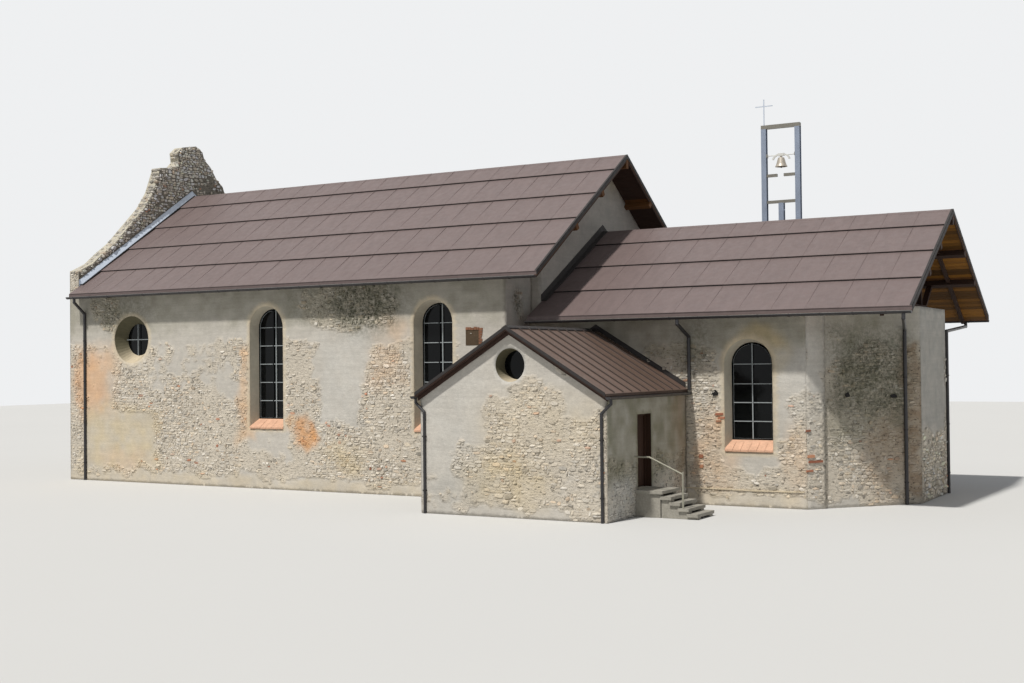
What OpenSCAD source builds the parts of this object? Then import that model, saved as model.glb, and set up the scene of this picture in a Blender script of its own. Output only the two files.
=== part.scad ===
// Small chapel: a nave with a ruined west gable, a narrower choir with a three-sided apse,
// a sacristy on the south side with steps to its door, and a steel bell frame behind the choir.
// Millimetres. X runs east along the nave, Y north, Z up. The origin is at ground level,
// on the long axis, in the middle of the nave.

/* [Nave] */
// Length of the nave over its walls
nave_l = 18180; // [16500:10:20000]
// Width of the nave over its walls
nave_w = 11500; // [11000:10:12200]
// Thickness of the nave walls
nave_wall_t = 850; // [700:10:1000]
// Height of the nave wall tops
nave_wall_h = 6480; // [6200:10:6700]
// Height of the roof surface at the nave eaves above the wall tops
nave_eave_lift = 152; // [100:1:250]
// Rise of the nave roof from its eaves to its ridge
nave_rise = 4118; // [3700:1:4500]
// Overhang of the nave eaves beyond the wall
nave_eave_out = 450; // [300:10:600]
// Overhang of the nave roof beyond the chancel gable
nave_verge_out = 940; // [600:10:1200]
// Tiers of sheets on the nave roof
nave_tiers = 5; // [3:1:7]
// Thickness of the ruined gable where it stands above the roof
parapet_t = 420; // [300:10:500]
// How far the middle of the ruined gable stands above the roof line
ruin_h = 2050; // [1600:10:2400]

/* [Nave openings] */
// Distance of the round window's centre from the nave's west end
oculus_in = 3040; // [2500:10:3500]
// Radius of the round window's glass
oculus_r = 560; // [450:10:650]
// Distance of the round window's centre below the wall top
oculus_drop = 1510; // [1400:10:1800]
// Distances of the arched windows from the nave's east end
nave_window_ins = [9050, 2540];
// Width of the glass in an arched nave window
nave_window_w = 1210; // [900:10:1300]
// Height of the glass from its lower edge to its crown
nave_window_h = 3600; // [3000:10:3800]
// Distance of the glass's crown below the wall top
nave_window_drop = 620; // [500:10:900]
// Width of the west doorway
portal_w = 1600; // [1200:10:2000]
// Height of the west doorway's crown
portal_h = 3000; // [2600:10:3400]
// Width of the chancel arch
chancel_arch_w = 4400; // [3800:10:5000]
// Height of the chancel arch's springing
chancel_arch_spring = 2700; // [2200:10:2900]

/* [Choir and apse] */
// Length of the straight part of the choir, from the nave's end face
choir_l = 8430; // [8000:10:9500]
// Width of the choir over its walls
choir_w = 8660; // [8200:10:9000]
// Thickness of the choir and apse walls
choir_wall_t = 800; // [650:10:950]
// Height of the choir wall tops
choir_wall_h = 5480; // [5300:10:5520]
// Distance of the roof surface at the choir eaves below the wall tops
choir_eave_drop = 116; // [60:1:200]
// Rise of the choir roof from its eaves to its ridge
choir_rise = 2926; // [2700:1:3200]
// Overhang of the choir eaves beyond the wall
choir_eave_out = 797; // [600:1:900]
// Overhang of the choir roof beyond the apse
choir_verge_out = 630; // [400:10:800]
// Tiers of sheets on the choir roof
choir_tiers = 4; // [3:1:6]
// Length of the apse beyond the straight choir
apse_l = 2470; // [2200:10:2700]
// Width of the apse's east face
apse_east_w = 3200; // [2800:10:3600]
// How far the chancel gable stands out of the nave's end wall
gable_step = 350; // [200:10:450]
// Distance of the choir window's centre from the apse corner
choir_window_in = 1550; // [1300:10:1900]
// Width of the glass in the choir window
choir_window_w = 1200; // [900:10:1300]
// Height of the choir glass from its lower edge to its crown
choir_window_h = 2710; // [2400:10:2900]
// Distance of the choir glass's crown below the wall top
choir_window_drop = 960; // [800:10:1200]

/* [Sacristy] */
// Distance of the sacristy's centre from the nave's east end
sac_in = 2240; // [2160:10:2360]
// Width of the sacristy over its walls
sac_w = 5540; // [5400:10:5640]
// Distance of the sacristy's front face from the long axis
sac_front_y = 9400; // [8900:10:9900]
// Thickness of the sacristy walls
sac_wall_t = 500; // [400:10:600]
// Distance of the sacristy ridge below the roof surface at the choir eaves
sac_ridge_drop = 414; // [350:1:600]
// Height of the roof surface at the sacristy eaves
sac_eave_z = 3220; // [3150:10:3300]
// Overhang of the sacristy eaves
sac_eave_out = 75; // [40:5:150]
// Overhang of the sacristy's front verge
sac_verge_out = 220; // [100:10:350]
// Height of the sacristy floor
sac_floor_z = 700; // [600:10:800]
// Radius of the sacristy's round window
sac_window_r = 380; // [300:10:420]
// Distance of that window's centre below the ridge
sac_window_drop = 990; // [970:10:1200]
// Distance of the door's centre from the sacristy's front face
door_in = 2230; // [2000:10:2400]
// Width of the door leaf
door_w = 840; // [760:10:900]
// Height of the door leaf
door_h = 1920; // [1800:10:2000]
// Thickness of the door leaf
door_t = 45; // [35:1:60]

/* [Steps] */
// Length of the landing, out from the wall
landing_l = 790; // [600:10:1000]
// Width of the landing and the treads
stair_w = 1150; // [1000:10:1300]
// Depth of each tread that shows
tread_run = 240; // [220:5:320]
// Treads below the landing
tread_count = 4; // [3:1:5]
// Thickness of the stone slabs
slab_t = 80; // [60:5:100]
// Height of the handrail above the landing
rail_h = 860; // [800:10:950]

/* [Bell frame] */
// Distance of the frame's middle from the nave's east end
frame_in = 4600; // [4300:10:4900]
// Distance of the post centres from the choir's eaves
frame_gap = 473; // [420:1:600]
// Distance between the post centres
frame_w = 1214; // [1100:2:1400]
// Width of the posts' steel section
post_s = 180; // [140:5:200]
// Height of the post tops
frame_h = 12150; // [11700:10:12400]
// Distance of the bell's axle below the post tops
axle_drop = 950; // [850:10:1050]
// Diameter of the bell's mouth
bell_d = 430; // [360:5:460]
// Height of the bell
bell_h = 350; // [300:5:380]
// Height of the cross above the post
cross_h = 930; // [700:10:1200]

/* [Hidden] */
$fn = 48;
eps = 1;

// Shared thicknesses and clearances
sheet_t = 60;          // metal sheet with its battens
board_t = 35;
plate_w = 200;
purlin_w = 160;
purlin_h = 180;
ridge_beam_h = 300;
tier_step = 45;
glass_t = 12;
glass_in = 380;        // from the wall's face to the glass
glass_frame_d = 40;    // depth of a window's frame
splay = 95;            // how much wider an opening is at the face than at the glass
sill_drop = 300;
floor_t = 150;
gutter_r = 75;
pipe_r = 50;
running_gap = 12;
seat_gap = 0.3;

// Derived places
nave_eave_z = nave_wall_h + nave_eave_lift;
nave_ridge_z = nave_eave_z + nave_rise;
choir_eave_z = choir_wall_h - choir_eave_drop;
choir_ridge_z = choir_eave_z + choir_rise;
sac_ridge_z = choir_eave_z - sac_ridge_drop;
west_x = -nave_l / 2;
east_x = nave_l / 2;
oculus_x = west_x + oculus_in;
oculus_z = nave_wall_h - oculus_drop;
nave_window_xs = [for (d = nave_window_ins) east_x - d];
nave_window_z1 = nave_wall_h - nave_window_drop;
nave_window_z0 = nave_window_z1 - nave_window_h;
gable_x = east_x + gable_step;
apse_x = east_x + choir_l;
apse_end_x = apse_x + apse_l;
choir_window_x = apse_x - choir_window_in;
choir_window_z1 = choir_wall_h - choir_window_drop;
choir_window_z0 = choir_window_z1 - choir_window_h;
nave_half = nave_w / 2;
choir_half = choir_w / 2;
nave_roof_half = nave_half + nave_eave_out;
choir_roof_half = choir_half + choir_eave_out;
gable_block_half = choir_half - 100;
nave_slope = (nave_ridge_z - nave_eave_z) / nave_roof_half;
choir_slope = (choir_ridge_z - choir_eave_z) / choir_roof_half;
nave_roof_x0 = west_x + parapet_t;
nave_roof_x1 = gable_x + nave_verge_out;
choir_roof_x1 = apse_end_x + choir_verge_out;
sac_x = east_x + sac_in;
sac_x0 = sac_x - sac_w / 2;
sac_x1 = sac_x + sac_w / 2;
sac_roof_half = sac_w / 2 + sac_eave_out;
sac_slope = (sac_ridge_z - sac_eave_z) / sac_roof_half;
sac_window_z = sac_ridge_z - sac_window_drop;
door_y = sac_front_y - door_in;
frame_x = east_x + frame_in;
frame_y = choir_roof_half + frame_gap;
axle_z = frame_h - axle_drop;
roof_build = sheet_t + board_t + tier_step;
timber_drop = roof_build + seat_gap;   // from the roof line to the timbers under the boards

// Height of a roof surface at a distance from its ridge
function nave_line(y) = nave_ridge_z - nave_slope * abs(y);
function choir_line(y) = choir_ridge_z - choir_slope * abs(y);
function sac_line(x) = sac_ridge_z - sac_slope * abs(x - sac_x);

// A pipe's joint is this much wider than the pipe
joint_k = 1.08;

// Turns a flat outline drawn in X and Z into a slab that runs north from y0
module slab_y(y0, length) {
    translate([0, y0 + length, 0]) rotate([90, 0, 0]) linear_extrude(length) children();
}

// Turns a flat outline drawn in Y and Z into a slab that runs east from x0
module slab_x(x0, length) {
    translate([x0, 0, 0]) rotate([90, 0, 90]) linear_extrude(length) children();
}

// Outline of an arched opening that stands on z0, centred on x
module arch_outline(x, w, z0, z1) {
    r = w / 2;
    translate([x - r, z0]) square([w, z1 - r - z0]);
    translate([x, z1 - r]) circle(r);
}

// Hole of an arched window in a wall whose outer face is at y = -face.
// The opening narrows to the glass, and the sill falls outward.
module arch_hole(x, w, z0, z1, face, wall_t) {
    hull() {
        slab_y(-face - eps, eps) arch_outline(x, w + 2 * splay, z0 - sill_drop, z1 + splay);
        slab_y(-face + glass_in - eps, eps) arch_outline(x, w, z0, z1);
    }
    slab_y(-face + glass_in - 2 * eps, wall_t - glass_in + 3 * eps) arch_outline(x, w, z0, z1);
}

// Hole of a round window in a wall whose outer face is at y = -face
module round_hole(x, r, z, face, wall_t, out) {
    translate([x, -face + glass_in, z]) rotate([90, 0, 0])
        cylinder(h = glass_in + eps, r1 = r, r2 = r + out);
    translate([x, -face + wall_t + eps, z]) rotate([90, 0, 0])
        cylinder(h = wall_t - glass_in + 2 * eps, r = r);
}

// Upper outline of one roof slope with its tiers of sheets, from the ridge to the eave.
// The lower edge of each tier lies on the roof line, and the next tier starts below it.
function tier_points(half, ridge_z, slope, tiers) = [
    for (i = [0 : tiers - 1]) let (
        first = 0.6,
        y0 = i == 0 ? 0 : half * (i - 1 + first) / (tiers - 1 + first),
        y1 = half * (i + first) / (tiers - 1 + first))
    each [[y0, ridge_z - slope * y0 - (i == 0 ? 0 : tier_step)], [y1, ridge_z - slope * y1]]
];

module tiered_slope(half, ridge_z, slope, tiers) {
    under = sheet_t + tier_step;
    polygon(concat(tier_points(half, ridge_z, slope, tiers),
        [[half, ridge_z - slope * half - under], [0, ridge_z - under]]));
}

module nave_window_holes() {
    for (x = nave_window_xs)
        arch_hole(x, nave_window_w, nave_window_z0, nave_window_z1, nave_half, nave_wall_t);
    round_hole(oculus_x, oculus_r, oculus_z, nave_half, nave_wall_t, 260);
}

module nave_side_wall() {
    difference() {
        translate([west_x, -nave_half, 0]) cube([nave_l, nave_wall_t, nave_wall_h]);
        nave_window_holes();
    }
}

module nave_south_wall() {
    color([0.78, 0.74, 0.66]) nave_side_wall();
}

module nave_north_wall() {
    color([0.78, 0.74, 0.66]) mirror([0, 1, 0]) nave_side_wall();
}

// Outline of a gable between the side walls, up to the roof boards
module nave_gable_outline(drop) {
    inner = nave_half - nave_wall_t;
    polygon([[-inner, 0], [inner, 0], [inner, nave_wall_h],
        [nave_half, nave_wall_h], [nave_half, nave_line(nave_half) - drop],
        [0, nave_ridge_z - drop], [-nave_half, nave_line(nave_half) - drop],
        [-nave_half, nave_wall_h], [-inner, nave_wall_h]]);
}

// The broken top of the west gable, from north to south. Each point is a share of half the
// nave's width, and a height above the roof line as a share of ruin_h.
ruin_shares = [
    [1, 0.16], [0.87, 0.085], [0.78, 0.26], [0.61, 0.135], [0.54, 0.345], [0.435, 0.395],
    [0.365, 0.655], [0.31, 0.87], [0.25, 0.88], [0.184, 0.99], [0.127, 1], [0.108, 1.11],
    [0.043, 1.08], [-0.087, 1.09], [-0.134, 1.065], [-0.125, 0.87], [-0.17, 0.825],
    [-0.296, 1.015], [-0.322, 0.875], [-0.365, 0.655], [-0.443, 0.49], [-0.614, 0.34],
    [-0.696, 0.265], [-0.809, 0.245], [-0.887, 0.21], [-1, 0.27]];

module ruin_outline() {
    polygon(concat([[-nave_half, nave_wall_h], [nave_half, nave_wall_h]],
        [for (p = ruin_shares) [p.x * nave_half, nave_line(p.x * nave_half) + p.y * ruin_h]]));
}

module west_gable_wall() {
    color([0.74, 0.7, 0.62]) difference() {
        union() {
            slab_x(west_x + parapet_t, nave_wall_t - parapet_t) nave_gable_outline(timber_drop);
            slab_x(west_x, parapet_t) union() {
                inner = nave_half - nave_wall_t;
                translate([-inner, 0]) square([2 * inner, nave_wall_h + eps]);
                ruin_outline();
            }
        }
        slab_x(west_x - eps, nave_wall_t + 2 * eps) arch_outline(0, portal_w, -eps, portal_h);
        nave_purlin_runs(seat_gap);
    }
}

module chancel_gable_wall() {
    color([0.8, 0.77, 0.7]) difference() {
        union() {
            slab_x(east_x - nave_wall_t, nave_wall_t) nave_gable_outline(timber_drop);
            slab_x(east_x - eps, gable_step + eps) intersection() {
                nave_gable_outline(timber_drop);
                union() {
                    translate([-choir_half + choir_wall_t, 0])
                        square([choir_w - 2 * choir_wall_t, nave_ridge_z]);
                    translate([-gable_block_half, choir_wall_h])
                        square([2 * gable_block_half, nave_ridge_z]);
                }
            }
        }
        slab_x(east_x - nave_wall_t - eps, nave_wall_t + gable_step + 2 * eps)
            arch_outline(0, chancel_arch_w, -eps, chancel_arch_spring + chancel_arch_w / 2);
        nave_purlin_runs(seat_gap);
    }
}

module nave_floor() {
    inner = nave_half - nave_wall_t;
    color([0.55, 0.52, 0.48]) linear_extrude(floor_t) union() {
        translate([west_x + nave_wall_t, -inner]) square([nave_l - 2 * nave_wall_t, 2 * inner]);
        translate([west_x, -portal_w / 2]) square([nave_wall_t, portal_w]);
        translate([east_x - nave_wall_t, -chancel_arch_w / 2])
            square([nave_wall_t + gable_step, chancel_arch_w]);
    }
}

// Timbers under the boards: plates on the walls and purlins set square to the slope
module plate_run(x0, x1, half, wall_h, slope, ridge_z) {
    top_out = ridge_z - slope * half - timber_drop;
    top_in = top_out + slope * plate_w;
    slab_x(x0, x1 - x0)
        polygon([[-half, wall_h], [-half, top_out], [-half + plate_w, top_in], [-half + plate_w, wall_h]]);
}

module purlin_run(x0, x1, y, slope, ridge_z, grow = 0) {
    tilt = atan(slope);
    translate([x0, -y, ridge_z - slope * y - timber_drop]) rotate([tilt, 0, 0])
        translate([0, -purlin_w / 2 - grow, -purlin_h - grow])
            cube([x1 - x0, purlin_w + 2 * grow, purlin_h + 2 * grow]);
}

module ridge_run(x0, x1, slope, ridge_z, grow = 0) {
    top = ridge_z - timber_drop + grow;
    half = purlin_w / 2 + grow;
    slab_x(x0, x1 - x0) polygon([[0, top], [half, top - slope * half],
        [half, top - ridge_beam_h - 2 * grow], [-half, top - ridge_beam_h - 2 * grow],
        [-half, top - slope * half]]);
}

nave_purlin_ys = [1850, 3650];

// The purlins, or their slightly larger pockets in the gables
module nave_purlin_runs(grow = 0) {
    ridge_run(nave_roof_x0, nave_roof_x1, nave_slope, nave_ridge_z, grow);
    for (side = [0, 1], y = nave_purlin_ys) mirror([0, side, 0])
        purlin_run(nave_roof_x0, nave_roof_x1, y, nave_slope, nave_ridge_z, grow);
}

module nave_purlins() {
    color([0.3, 0.2, 0.13]) nave_purlin_runs();
}

module nave_wall_plates() {
    color([0.3, 0.2, 0.13]) for (side = [0, 1]) mirror([0, side, 0])
        plate_run(west_x + nave_wall_t, east_x - nave_wall_t, nave_half, nave_wall_h,
            nave_slope, nave_ridge_z);
}

// A layer of boards that follows both slopes
module board_layer(x0, x1, half, slope, ridge_z) {
    top = sheet_t + tier_step;
    slab_x(x0, x1 - x0) polygon([
        [-half, ridge_z - slope * half - top], [0, ridge_z - top], [half, ridge_z - slope * half - top],
        [half, ridge_z - slope * half - roof_build], [0, ridge_z - roof_build],
        [-half, ridge_z - slope * half - roof_build]]);
}

module nave_roof_boards() {
    color([0.34, 0.22, 0.14])
        board_layer(nave_roof_x0, nave_roof_x1, nave_roof_half, nave_slope, nave_ridge_z);
}

module nave_slope_sheet() {
    slab_x(nave_roof_x0, nave_roof_x1 - nave_roof_x0)
        tiered_slope(nave_roof_half, nave_ridge_z, nave_slope, nave_tiers);
}

module nave_roof_south() {
    color([0.55, 0.48, 0.47]) mirror([0, 1, 0]) nave_slope_sheet();
}

module nave_roof_north() {
    color([0.55, 0.48, 0.47]) nave_slope_sheet();
}

// A half-round gutter along X, hung against the edge of the boards
module gutter_x(x0, x1, y, z) {
    translate([x0, y, z]) rotate([0, 90, 0]) difference() {
        cylinder(h = x1 - x0, r = gutter_r);
        translate([0, 0, 3]) cylinder(h = x1 - x0 - 6, r = gutter_r - 3);
        translate([-2 * gutter_r, -gutter_r - eps, -eps])
            cube([2 * gutter_r, 2 * gutter_r + 2 * eps, x1 - x0 + 2 * eps]);
    }
}

module nave_gutters() {
    color([0.42, 0.36, 0.34]) for (side = [-1, 1])
        gutter_x(nave_roof_x0, nave_roof_x1, side * (nave_roof_half + gutter_r),
            nave_line(nave_roof_half) - roof_build + 20);
}

// A pipe made of straight round lengths with a slightly wider ball joint at each turn
module pipe_path(points, r) {
    for (i = [0 : len(points) - 2]) let (
        a = points[i],
        b = points[i + 1],
        v = b - a,
        l = norm(v))
        translate(a) rotate([0, acos(v.z / l), atan2(v.y, v.x)]) cylinder(h = l, r = r);
    for (i = [1 : 1 : len(points) - 2]) translate(points[i]) sphere(joint_k * r);
}

module nave_downpipe() {
    gutter_y = nave_roof_half + gutter_r;
    top_z = nave_line(nave_roof_half) - roof_build + 20 - gutter_r;
    wall_y = nave_half + joint_k * pipe_r + seat_gap;
    x = nave_roof_x0 + 350;
    color([0.42, 0.36, 0.34]) pipe_path([[x, -gutter_y, top_z], [x, -gutter_y, top_z - 120],
        [x, -wall_y, top_z - 520], [x, -wall_y, 0]], pipe_r);
}

// Bright zinc strip between the roof and the ruined gable
module ruin_flashing() {
    flashing_h = 230;
    color([0.8, 0.8, 0.8]) for (side = [0, 1]) mirror([0, side, 0])
        slab_x(nave_roof_x0, 30) translate([0, seat_gap]) polygon([
            [0, nave_ridge_z], [nave_half, nave_line(nave_half)],
            [nave_half, nave_line(nave_half) + flashing_h], [0, nave_ridge_z + flashing_h]]);
}

// Pane with its frame and one mullion; the frame stays just clear of the splayed reveal
module arch_glass(x, w, z0, z1, face) {
    frame_t = 45;
    clear = 1.5;
    slab_y(-face + glass_in, glass_t) arch_outline(x, w, z0, z1);
    slab_y(-face + glass_in - glass_frame_d, glass_frame_d) difference() {
        arch_outline(x, w - 2 * clear, z0 + clear, z1 - clear);
        arch_outline(x, w - 2 * frame_t, z0 + frame_t, z1 - frame_t);
    }
    translate([x - 25, -face + glass_in - glass_frame_d, z0 + frame_t])
        cube([50, glass_frame_d, z1 - z0 - 2 * frame_t]);
}

module nave_window_glass() {
    color([0.2, 0.22, 0.24]) for (side = [0, 1]) mirror([0, side, 0]) {
        for (x = nave_window_xs) arch_glass(x, nave_window_w, nave_window_z0, nave_window_z1, nave_half);
        translate([oculus_x, -nave_half + glass_in + glass_t, oculus_z]) rotate([90, 0, 0])
            cylinder(h = glass_t, r = oculus_r);
    }
}

// Sloping sill of tiles at the foot of an arched window
module sill(x, w, z0, face) {
    slope_run = glass_in - glass_frame_d;
    reveal = slope_run / (glass_in - eps);
    rise = sill_drop * reveal;
    half_in = w / 2 + splay * (1 - reveal);
    half_out = w / 2 + splay;
    intersection() {
        translate([x - half_out, -face, z0 - sill_drop]) rotate([90, 0, 90])
            linear_extrude(2 * half_out) polygon([[-50, 0], [0, 0], [slope_run, rise],
                [slope_run, rise + 35], [0, 35], [-50, 20]]);
        translate([0, 0, z0 - sill_drop - 10]) linear_extrude(sill_drop + 100)
            polygon([[x - half_out, -face - 60], [x + half_out, -face - 60], [x + half_out, -face],
                [x + half_in, -face + slope_run], [x - half_in, -face + slope_run], [x - half_out, -face]]);
    }
}

module nave_window_sills() {
    color([0.75, 0.55, 0.42]) for (side = [0, 1], x = nave_window_xs) mirror([0, side, 0])
        sill(x, nave_window_w, nave_window_z0, nave_half);
}

module west_door() {
    color([0.28, 0.19, 0.12])
        slab_x(west_x + glass_in, 60) arch_outline(0, portal_w, floor_t, portal_h);
}

module choir_side_wall() {
    difference() {
        translate([east_x, -choir_half, 0]) cube([choir_l, choir_wall_t, choir_wall_h]);
        arch_hole(choir_window_x, choir_window_w, choir_window_z0, choir_window_z1,
            choir_half, choir_wall_t);
    }
}

module choir_south_wall() {
    color([0.78, 0.75, 0.68]) choir_side_wall();
}

module choir_north_wall() {
    color([0.78, 0.75, 0.68]) mirror([0, 1, 0]) choir_side_wall();
}

// Corners of the apse's outer and inner faces, south side
apse_turn = atan2(apse_l, choir_half - apse_east_w / 2);
inner_shift_a = choir_wall_t * tan((90 - apse_turn) / 2);
inner_shift_b = choir_wall_t * tan(apse_turn / 2);
outer_a = [apse_x, -choir_half];
outer_b = [apse_end_x, -apse_east_w / 2];
inner_a = [apse_x - inner_shift_a, -choir_half + choir_wall_t];
inner_b = [apse_end_x - choir_wall_t, -apse_east_w / 2 + inner_shift_b];

// Directions along the slanting south-east face and square out of it
apse_along = [sin(apse_turn), cos(apse_turn)];
apse_out = [cos(apse_turn), -sin(apse_turn)];
lesene_w = 600;                    // flat strip that thickens the wall beside the choir corner
lesene_t = 60;

module apse_southeast_shape() {
    strip_end = outer_a + lesene_w * apse_along;
    color([0.76, 0.74, 0.69]) linear_extrude(choir_wall_h)
        polygon([outer_a, [apse_x + lesene_t / apse_out.x, -choir_half], strip_end + lesene_t * apse_out,
            strip_end, outer_b, inner_b, [apse_x, inner_a.y + (apse_x - inner_a.x)
            * (inner_b.y - inner_a.y) / (inner_b.x - inner_a.x)], [apse_x, -choir_half + choir_wall_t / 2]]);
}

module apse_southeast_wall() {
    apse_southeast_shape();
}

module apse_northeast_wall() {
    mirror([0, 1, 0]) apse_southeast_shape();
}

module apse_east_wall() {
    color([0.8, 0.77, 0.7]) linear_extrude(choir_wall_h)
        polygon([outer_b, [outer_b.x, -outer_b.y], [inner_b.x, -inner_b.y], inner_b]);
}

module choir_floor() {
    inner = choir_half - choir_wall_t;
    cut = seat_gap / sin(apse_turn);
    color([0.55, 0.52, 0.48]) linear_extrude(floor_t)
        polygon([[gable_x, -inner], [inner_a.x - cut, -inner], [inner_b.x - cut, inner_b.y],
            [inner_b.x - cut, -inner_b.y], [inner_a.x - cut, inner], [gable_x, inner]]);
}

choir_purlin_ys = [1650, 3050];

module choir_wall_plates() {
    color([0.36, 0.22, 0.12]) for (side = [0, 1]) mirror([0, side, 0])
        plate_run(gable_x, apse_x, choir_half, choir_wall_h, choir_slope, choir_ridge_z);
}

module choir_purlins() {
    color([0.4, 0.24, 0.12]) {
        ridge_run(gable_x, choir_roof_x1, choir_slope, choir_ridge_z);
        for (side = [0, 1], y = choir_purlin_ys) mirror([0, side, 0])
            purlin_run(gable_x, choir_roof_x1, y, choir_slope, choir_ridge_z);
    }
}

module choir_roof_boards() {
    color([0.5, 0.3, 0.14])
        board_layer(gable_x, choir_roof_x1, choir_roof_half, choir_slope, choir_ridge_z);
}

module choir_slope_sheet() {
    slab_x(gable_x, choir_roof_x1 - gable_x)
        tiered_slope(choir_roof_half, choir_ridge_z, choir_slope, choir_tiers);
}

module choir_roof_south() {
    color([0.55, 0.48, 0.47]) mirror([0, 1, 0]) choir_slope_sheet();
}

module choir_roof_north() {
    color([0.55, 0.48, 0.47]) choir_slope_sheet();
}

// Height of the purlins' lower faces above a line at distance y from the ridge's line
function purlin_under(y) = choir_line(y) - timber_drop - purlin_h / cos(atan(choir_slope));

// Distance of the middle of a purlin's lower face from the ridge's line
function purlin_foot(y) = y - purlin_h * sin(atan(choir_slope));

// Open timber truss on the apse: a tie beam, a post under the ridge, and on each side
// a post under the upper purlin and a strut out to the lower one
module choir_gable_truss() {
    truss_w = 160;
    post_half = 50;
    strut_half = 60;
    tie_top = choir_wall_h + truss_w;
    tie_half = apse_east_w / 2 + 700;
    ridge_under = choir_ridge_z - timber_drop - ridge_beam_h;
    strut_y = tie_half - 2 * strut_half;
    upper_y = purlin_foot(choir_purlin_ys[0]);
    lower_y = purlin_foot(choir_purlin_ys[1]);
    color([0.36, 0.22, 0.12]) {
        slab_x(apse_end_x - choir_wall_t, truss_w) {
            translate([-tie_half, choir_wall_h]) square([2 * tie_half, truss_w]);
            translate([-truss_w / 2, tie_top]) square([truss_w, ridge_under - tie_top]);
            for (side = [0, 1]) mirror([side, 0]) {
                polygon([[upper_y - post_half, tie_top], [upper_y + post_half, tie_top],
                    [upper_y + post_half, purlin_under(upper_y + post_half) - seat_gap],
                    [upper_y - post_half, purlin_under(upper_y - post_half) - seat_gap]]);
                polygon([[strut_y - strut_half, tie_top], [strut_y + strut_half, tie_top],
                    [lower_y + post_half, purlin_under(lower_y + post_half) - seat_gap],
                    [lower_y - post_half, purlin_under(lower_y - post_half) - seat_gap]]);
            }
        }
    }
}

module choir_gutters() {
    color([0.42, 0.36, 0.34]) for (side = [-1, 1])
        gutter_x(gable_x, choir_roof_x1, side * (choir_roof_half + gutter_r),
            choir_line(choir_roof_half) - roof_build + 20);
}

// One pipe empties into the annex gutter; two run on long necks to the apse's east corners
module choir_downpipes() {
    gutter_y = choir_roof_half + gutter_r;
    top_z = choir_line(choir_roof_half) - roof_build + 20 - gutter_r;
    drop = 120;
    wall_gap = joint_k * pipe_r + seat_gap;
    annex_x = sac_x + sac_roof_half + gutter_r;
    annex_y = -choir_half - wall_gap;
    color([0.42, 0.36, 0.34]) {
        pipe_path([[annex_x, -gutter_y, top_z], [annex_x, -gutter_y, top_z - drop],
            [annex_x, annex_y, top_z - drop - 350], [annex_x, annex_y, sac_gutter_z + 60]], pipe_r);
        neck_pipe([choir_roof_x1 - 200, -gutter_y], outer_b - 520 * apse_along + wall_gap * apse_out,
            top_z, drop);
        neck_pipe([apse_end_x - 90, gutter_y], [outer_b.x + 40, -outer_b.y + 80], top_z, drop);
    }
}

// Pipe from a gutter outlet along a sloping neck to a point at the wall, then to the ground
module neck_pipe(outlet, foot, top_z, drop) {
    foot_z = top_z - drop - 210;
    pipe_path([[outlet.x, outlet.y, top_z], [outlet.x, outlet.y, top_z - drop],
        [foot.x, foot.y, foot_z], [foot.x, foot.y, 0]], pipe_r);
}

module choir_window_glass() {
    color([0.2, 0.22, 0.24]) for (side = [0, 1]) mirror([0, side, 0])
        arch_glass(choir_window_x, choir_window_w, choir_window_z0, choir_window_z1, choir_half);
}

module choir_window_sills() {
    color([0.75, 0.55, 0.42]) for (side = [0, 1]) mirror([0, side, 0])
        sill(choir_window_x, choir_window_w, choir_window_z0, choir_half);
}

sac_wall_top = sac_line(sac_x1) - sheet_t - board_t - seat_gap;

module sacristy_front_wall() {
    color([0.74, 0.72, 0.68]) difference() {
        slab_y(-sac_front_y, sac_wall_t) polygon([[sac_x0, 0], [sac_x1, 0], [sac_x1, sac_wall_top],
            [sac_x, sac_ridge_z - sheet_t - board_t - seat_gap], [sac_x0, sac_wall_top]]);
        round_hole(sac_x + 10, sac_window_r, sac_window_z, sac_front_y, sac_wall_t, 60);
    }
}

module sacristy_west_wall() {
    color([0.72, 0.7, 0.62])
        translate([sac_x0, -sac_front_y + sac_wall_t, 0])
            cube([sac_wall_t, sac_front_y - sac_wall_t - nave_half, sac_wall_top]);
}

door_y0 = -door_y - door_w / 2 - running_gap;
door_y1 = -door_y + door_w / 2 + running_gap;
door_top = sac_floor_z + 10 + door_h + running_gap;

module sacristy_east_wall_south() {
    y0 = -sac_front_y + sac_wall_t;
    color([0.66, 0.64, 0.55])
        translate([sac_x1 - sac_wall_t, y0, 0]) cube([sac_wall_t, door_y0 - y0, sac_wall_top]);
}

module sacristy_east_wall_north() {
    color([0.66, 0.64, 0.55])
        translate([sac_x1 - sac_wall_t, door_y1, 0])
            cube([sac_wall_t, -choir_half - door_y1, sac_wall_top]);
}

module sacristy_door_lintel() {
    color([0.66, 0.64, 0.55]) {
        translate([sac_x1 - sac_wall_t, door_y0, door_top])
            cube([sac_wall_t, door_y1 - door_y0, sac_wall_top - door_top]);
        translate([sac_x1 - sac_wall_t, door_y0, 0])
            cube([sac_wall_t, door_y1 - door_y0, sac_floor_z]);
    }
}

module sacristy_floor() {
    color([0.5, 0.45, 0.4]) difference() {
        translate([sac_x0 + sac_wall_t, -sac_front_y + sac_wall_t, 0])
            cube([sac_w - 2 * sac_wall_t, sac_front_y - sac_wall_t - choir_half, sac_floor_z]);
        translate([sac_x0, -nave_half, -eps]) cube([east_x - sac_x0, nave_half, sac_floor_z + 2 * eps]);
    }
}

module sacristy_slope(thick_top, thick_bottom) {
    y0 = -sac_front_y - sac_verge_out;
    difference() {
        slab_y(y0, -choir_half - y0) polygon([[sac_x, sac_ridge_z - thick_top],
            [sac_x + sac_roof_half, sac_eave_z - thick_top],
            [sac_x + sac_roof_half, sac_eave_z - thick_bottom], [sac_x, sac_ridge_z - thick_bottom]]);
    }
}

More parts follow.
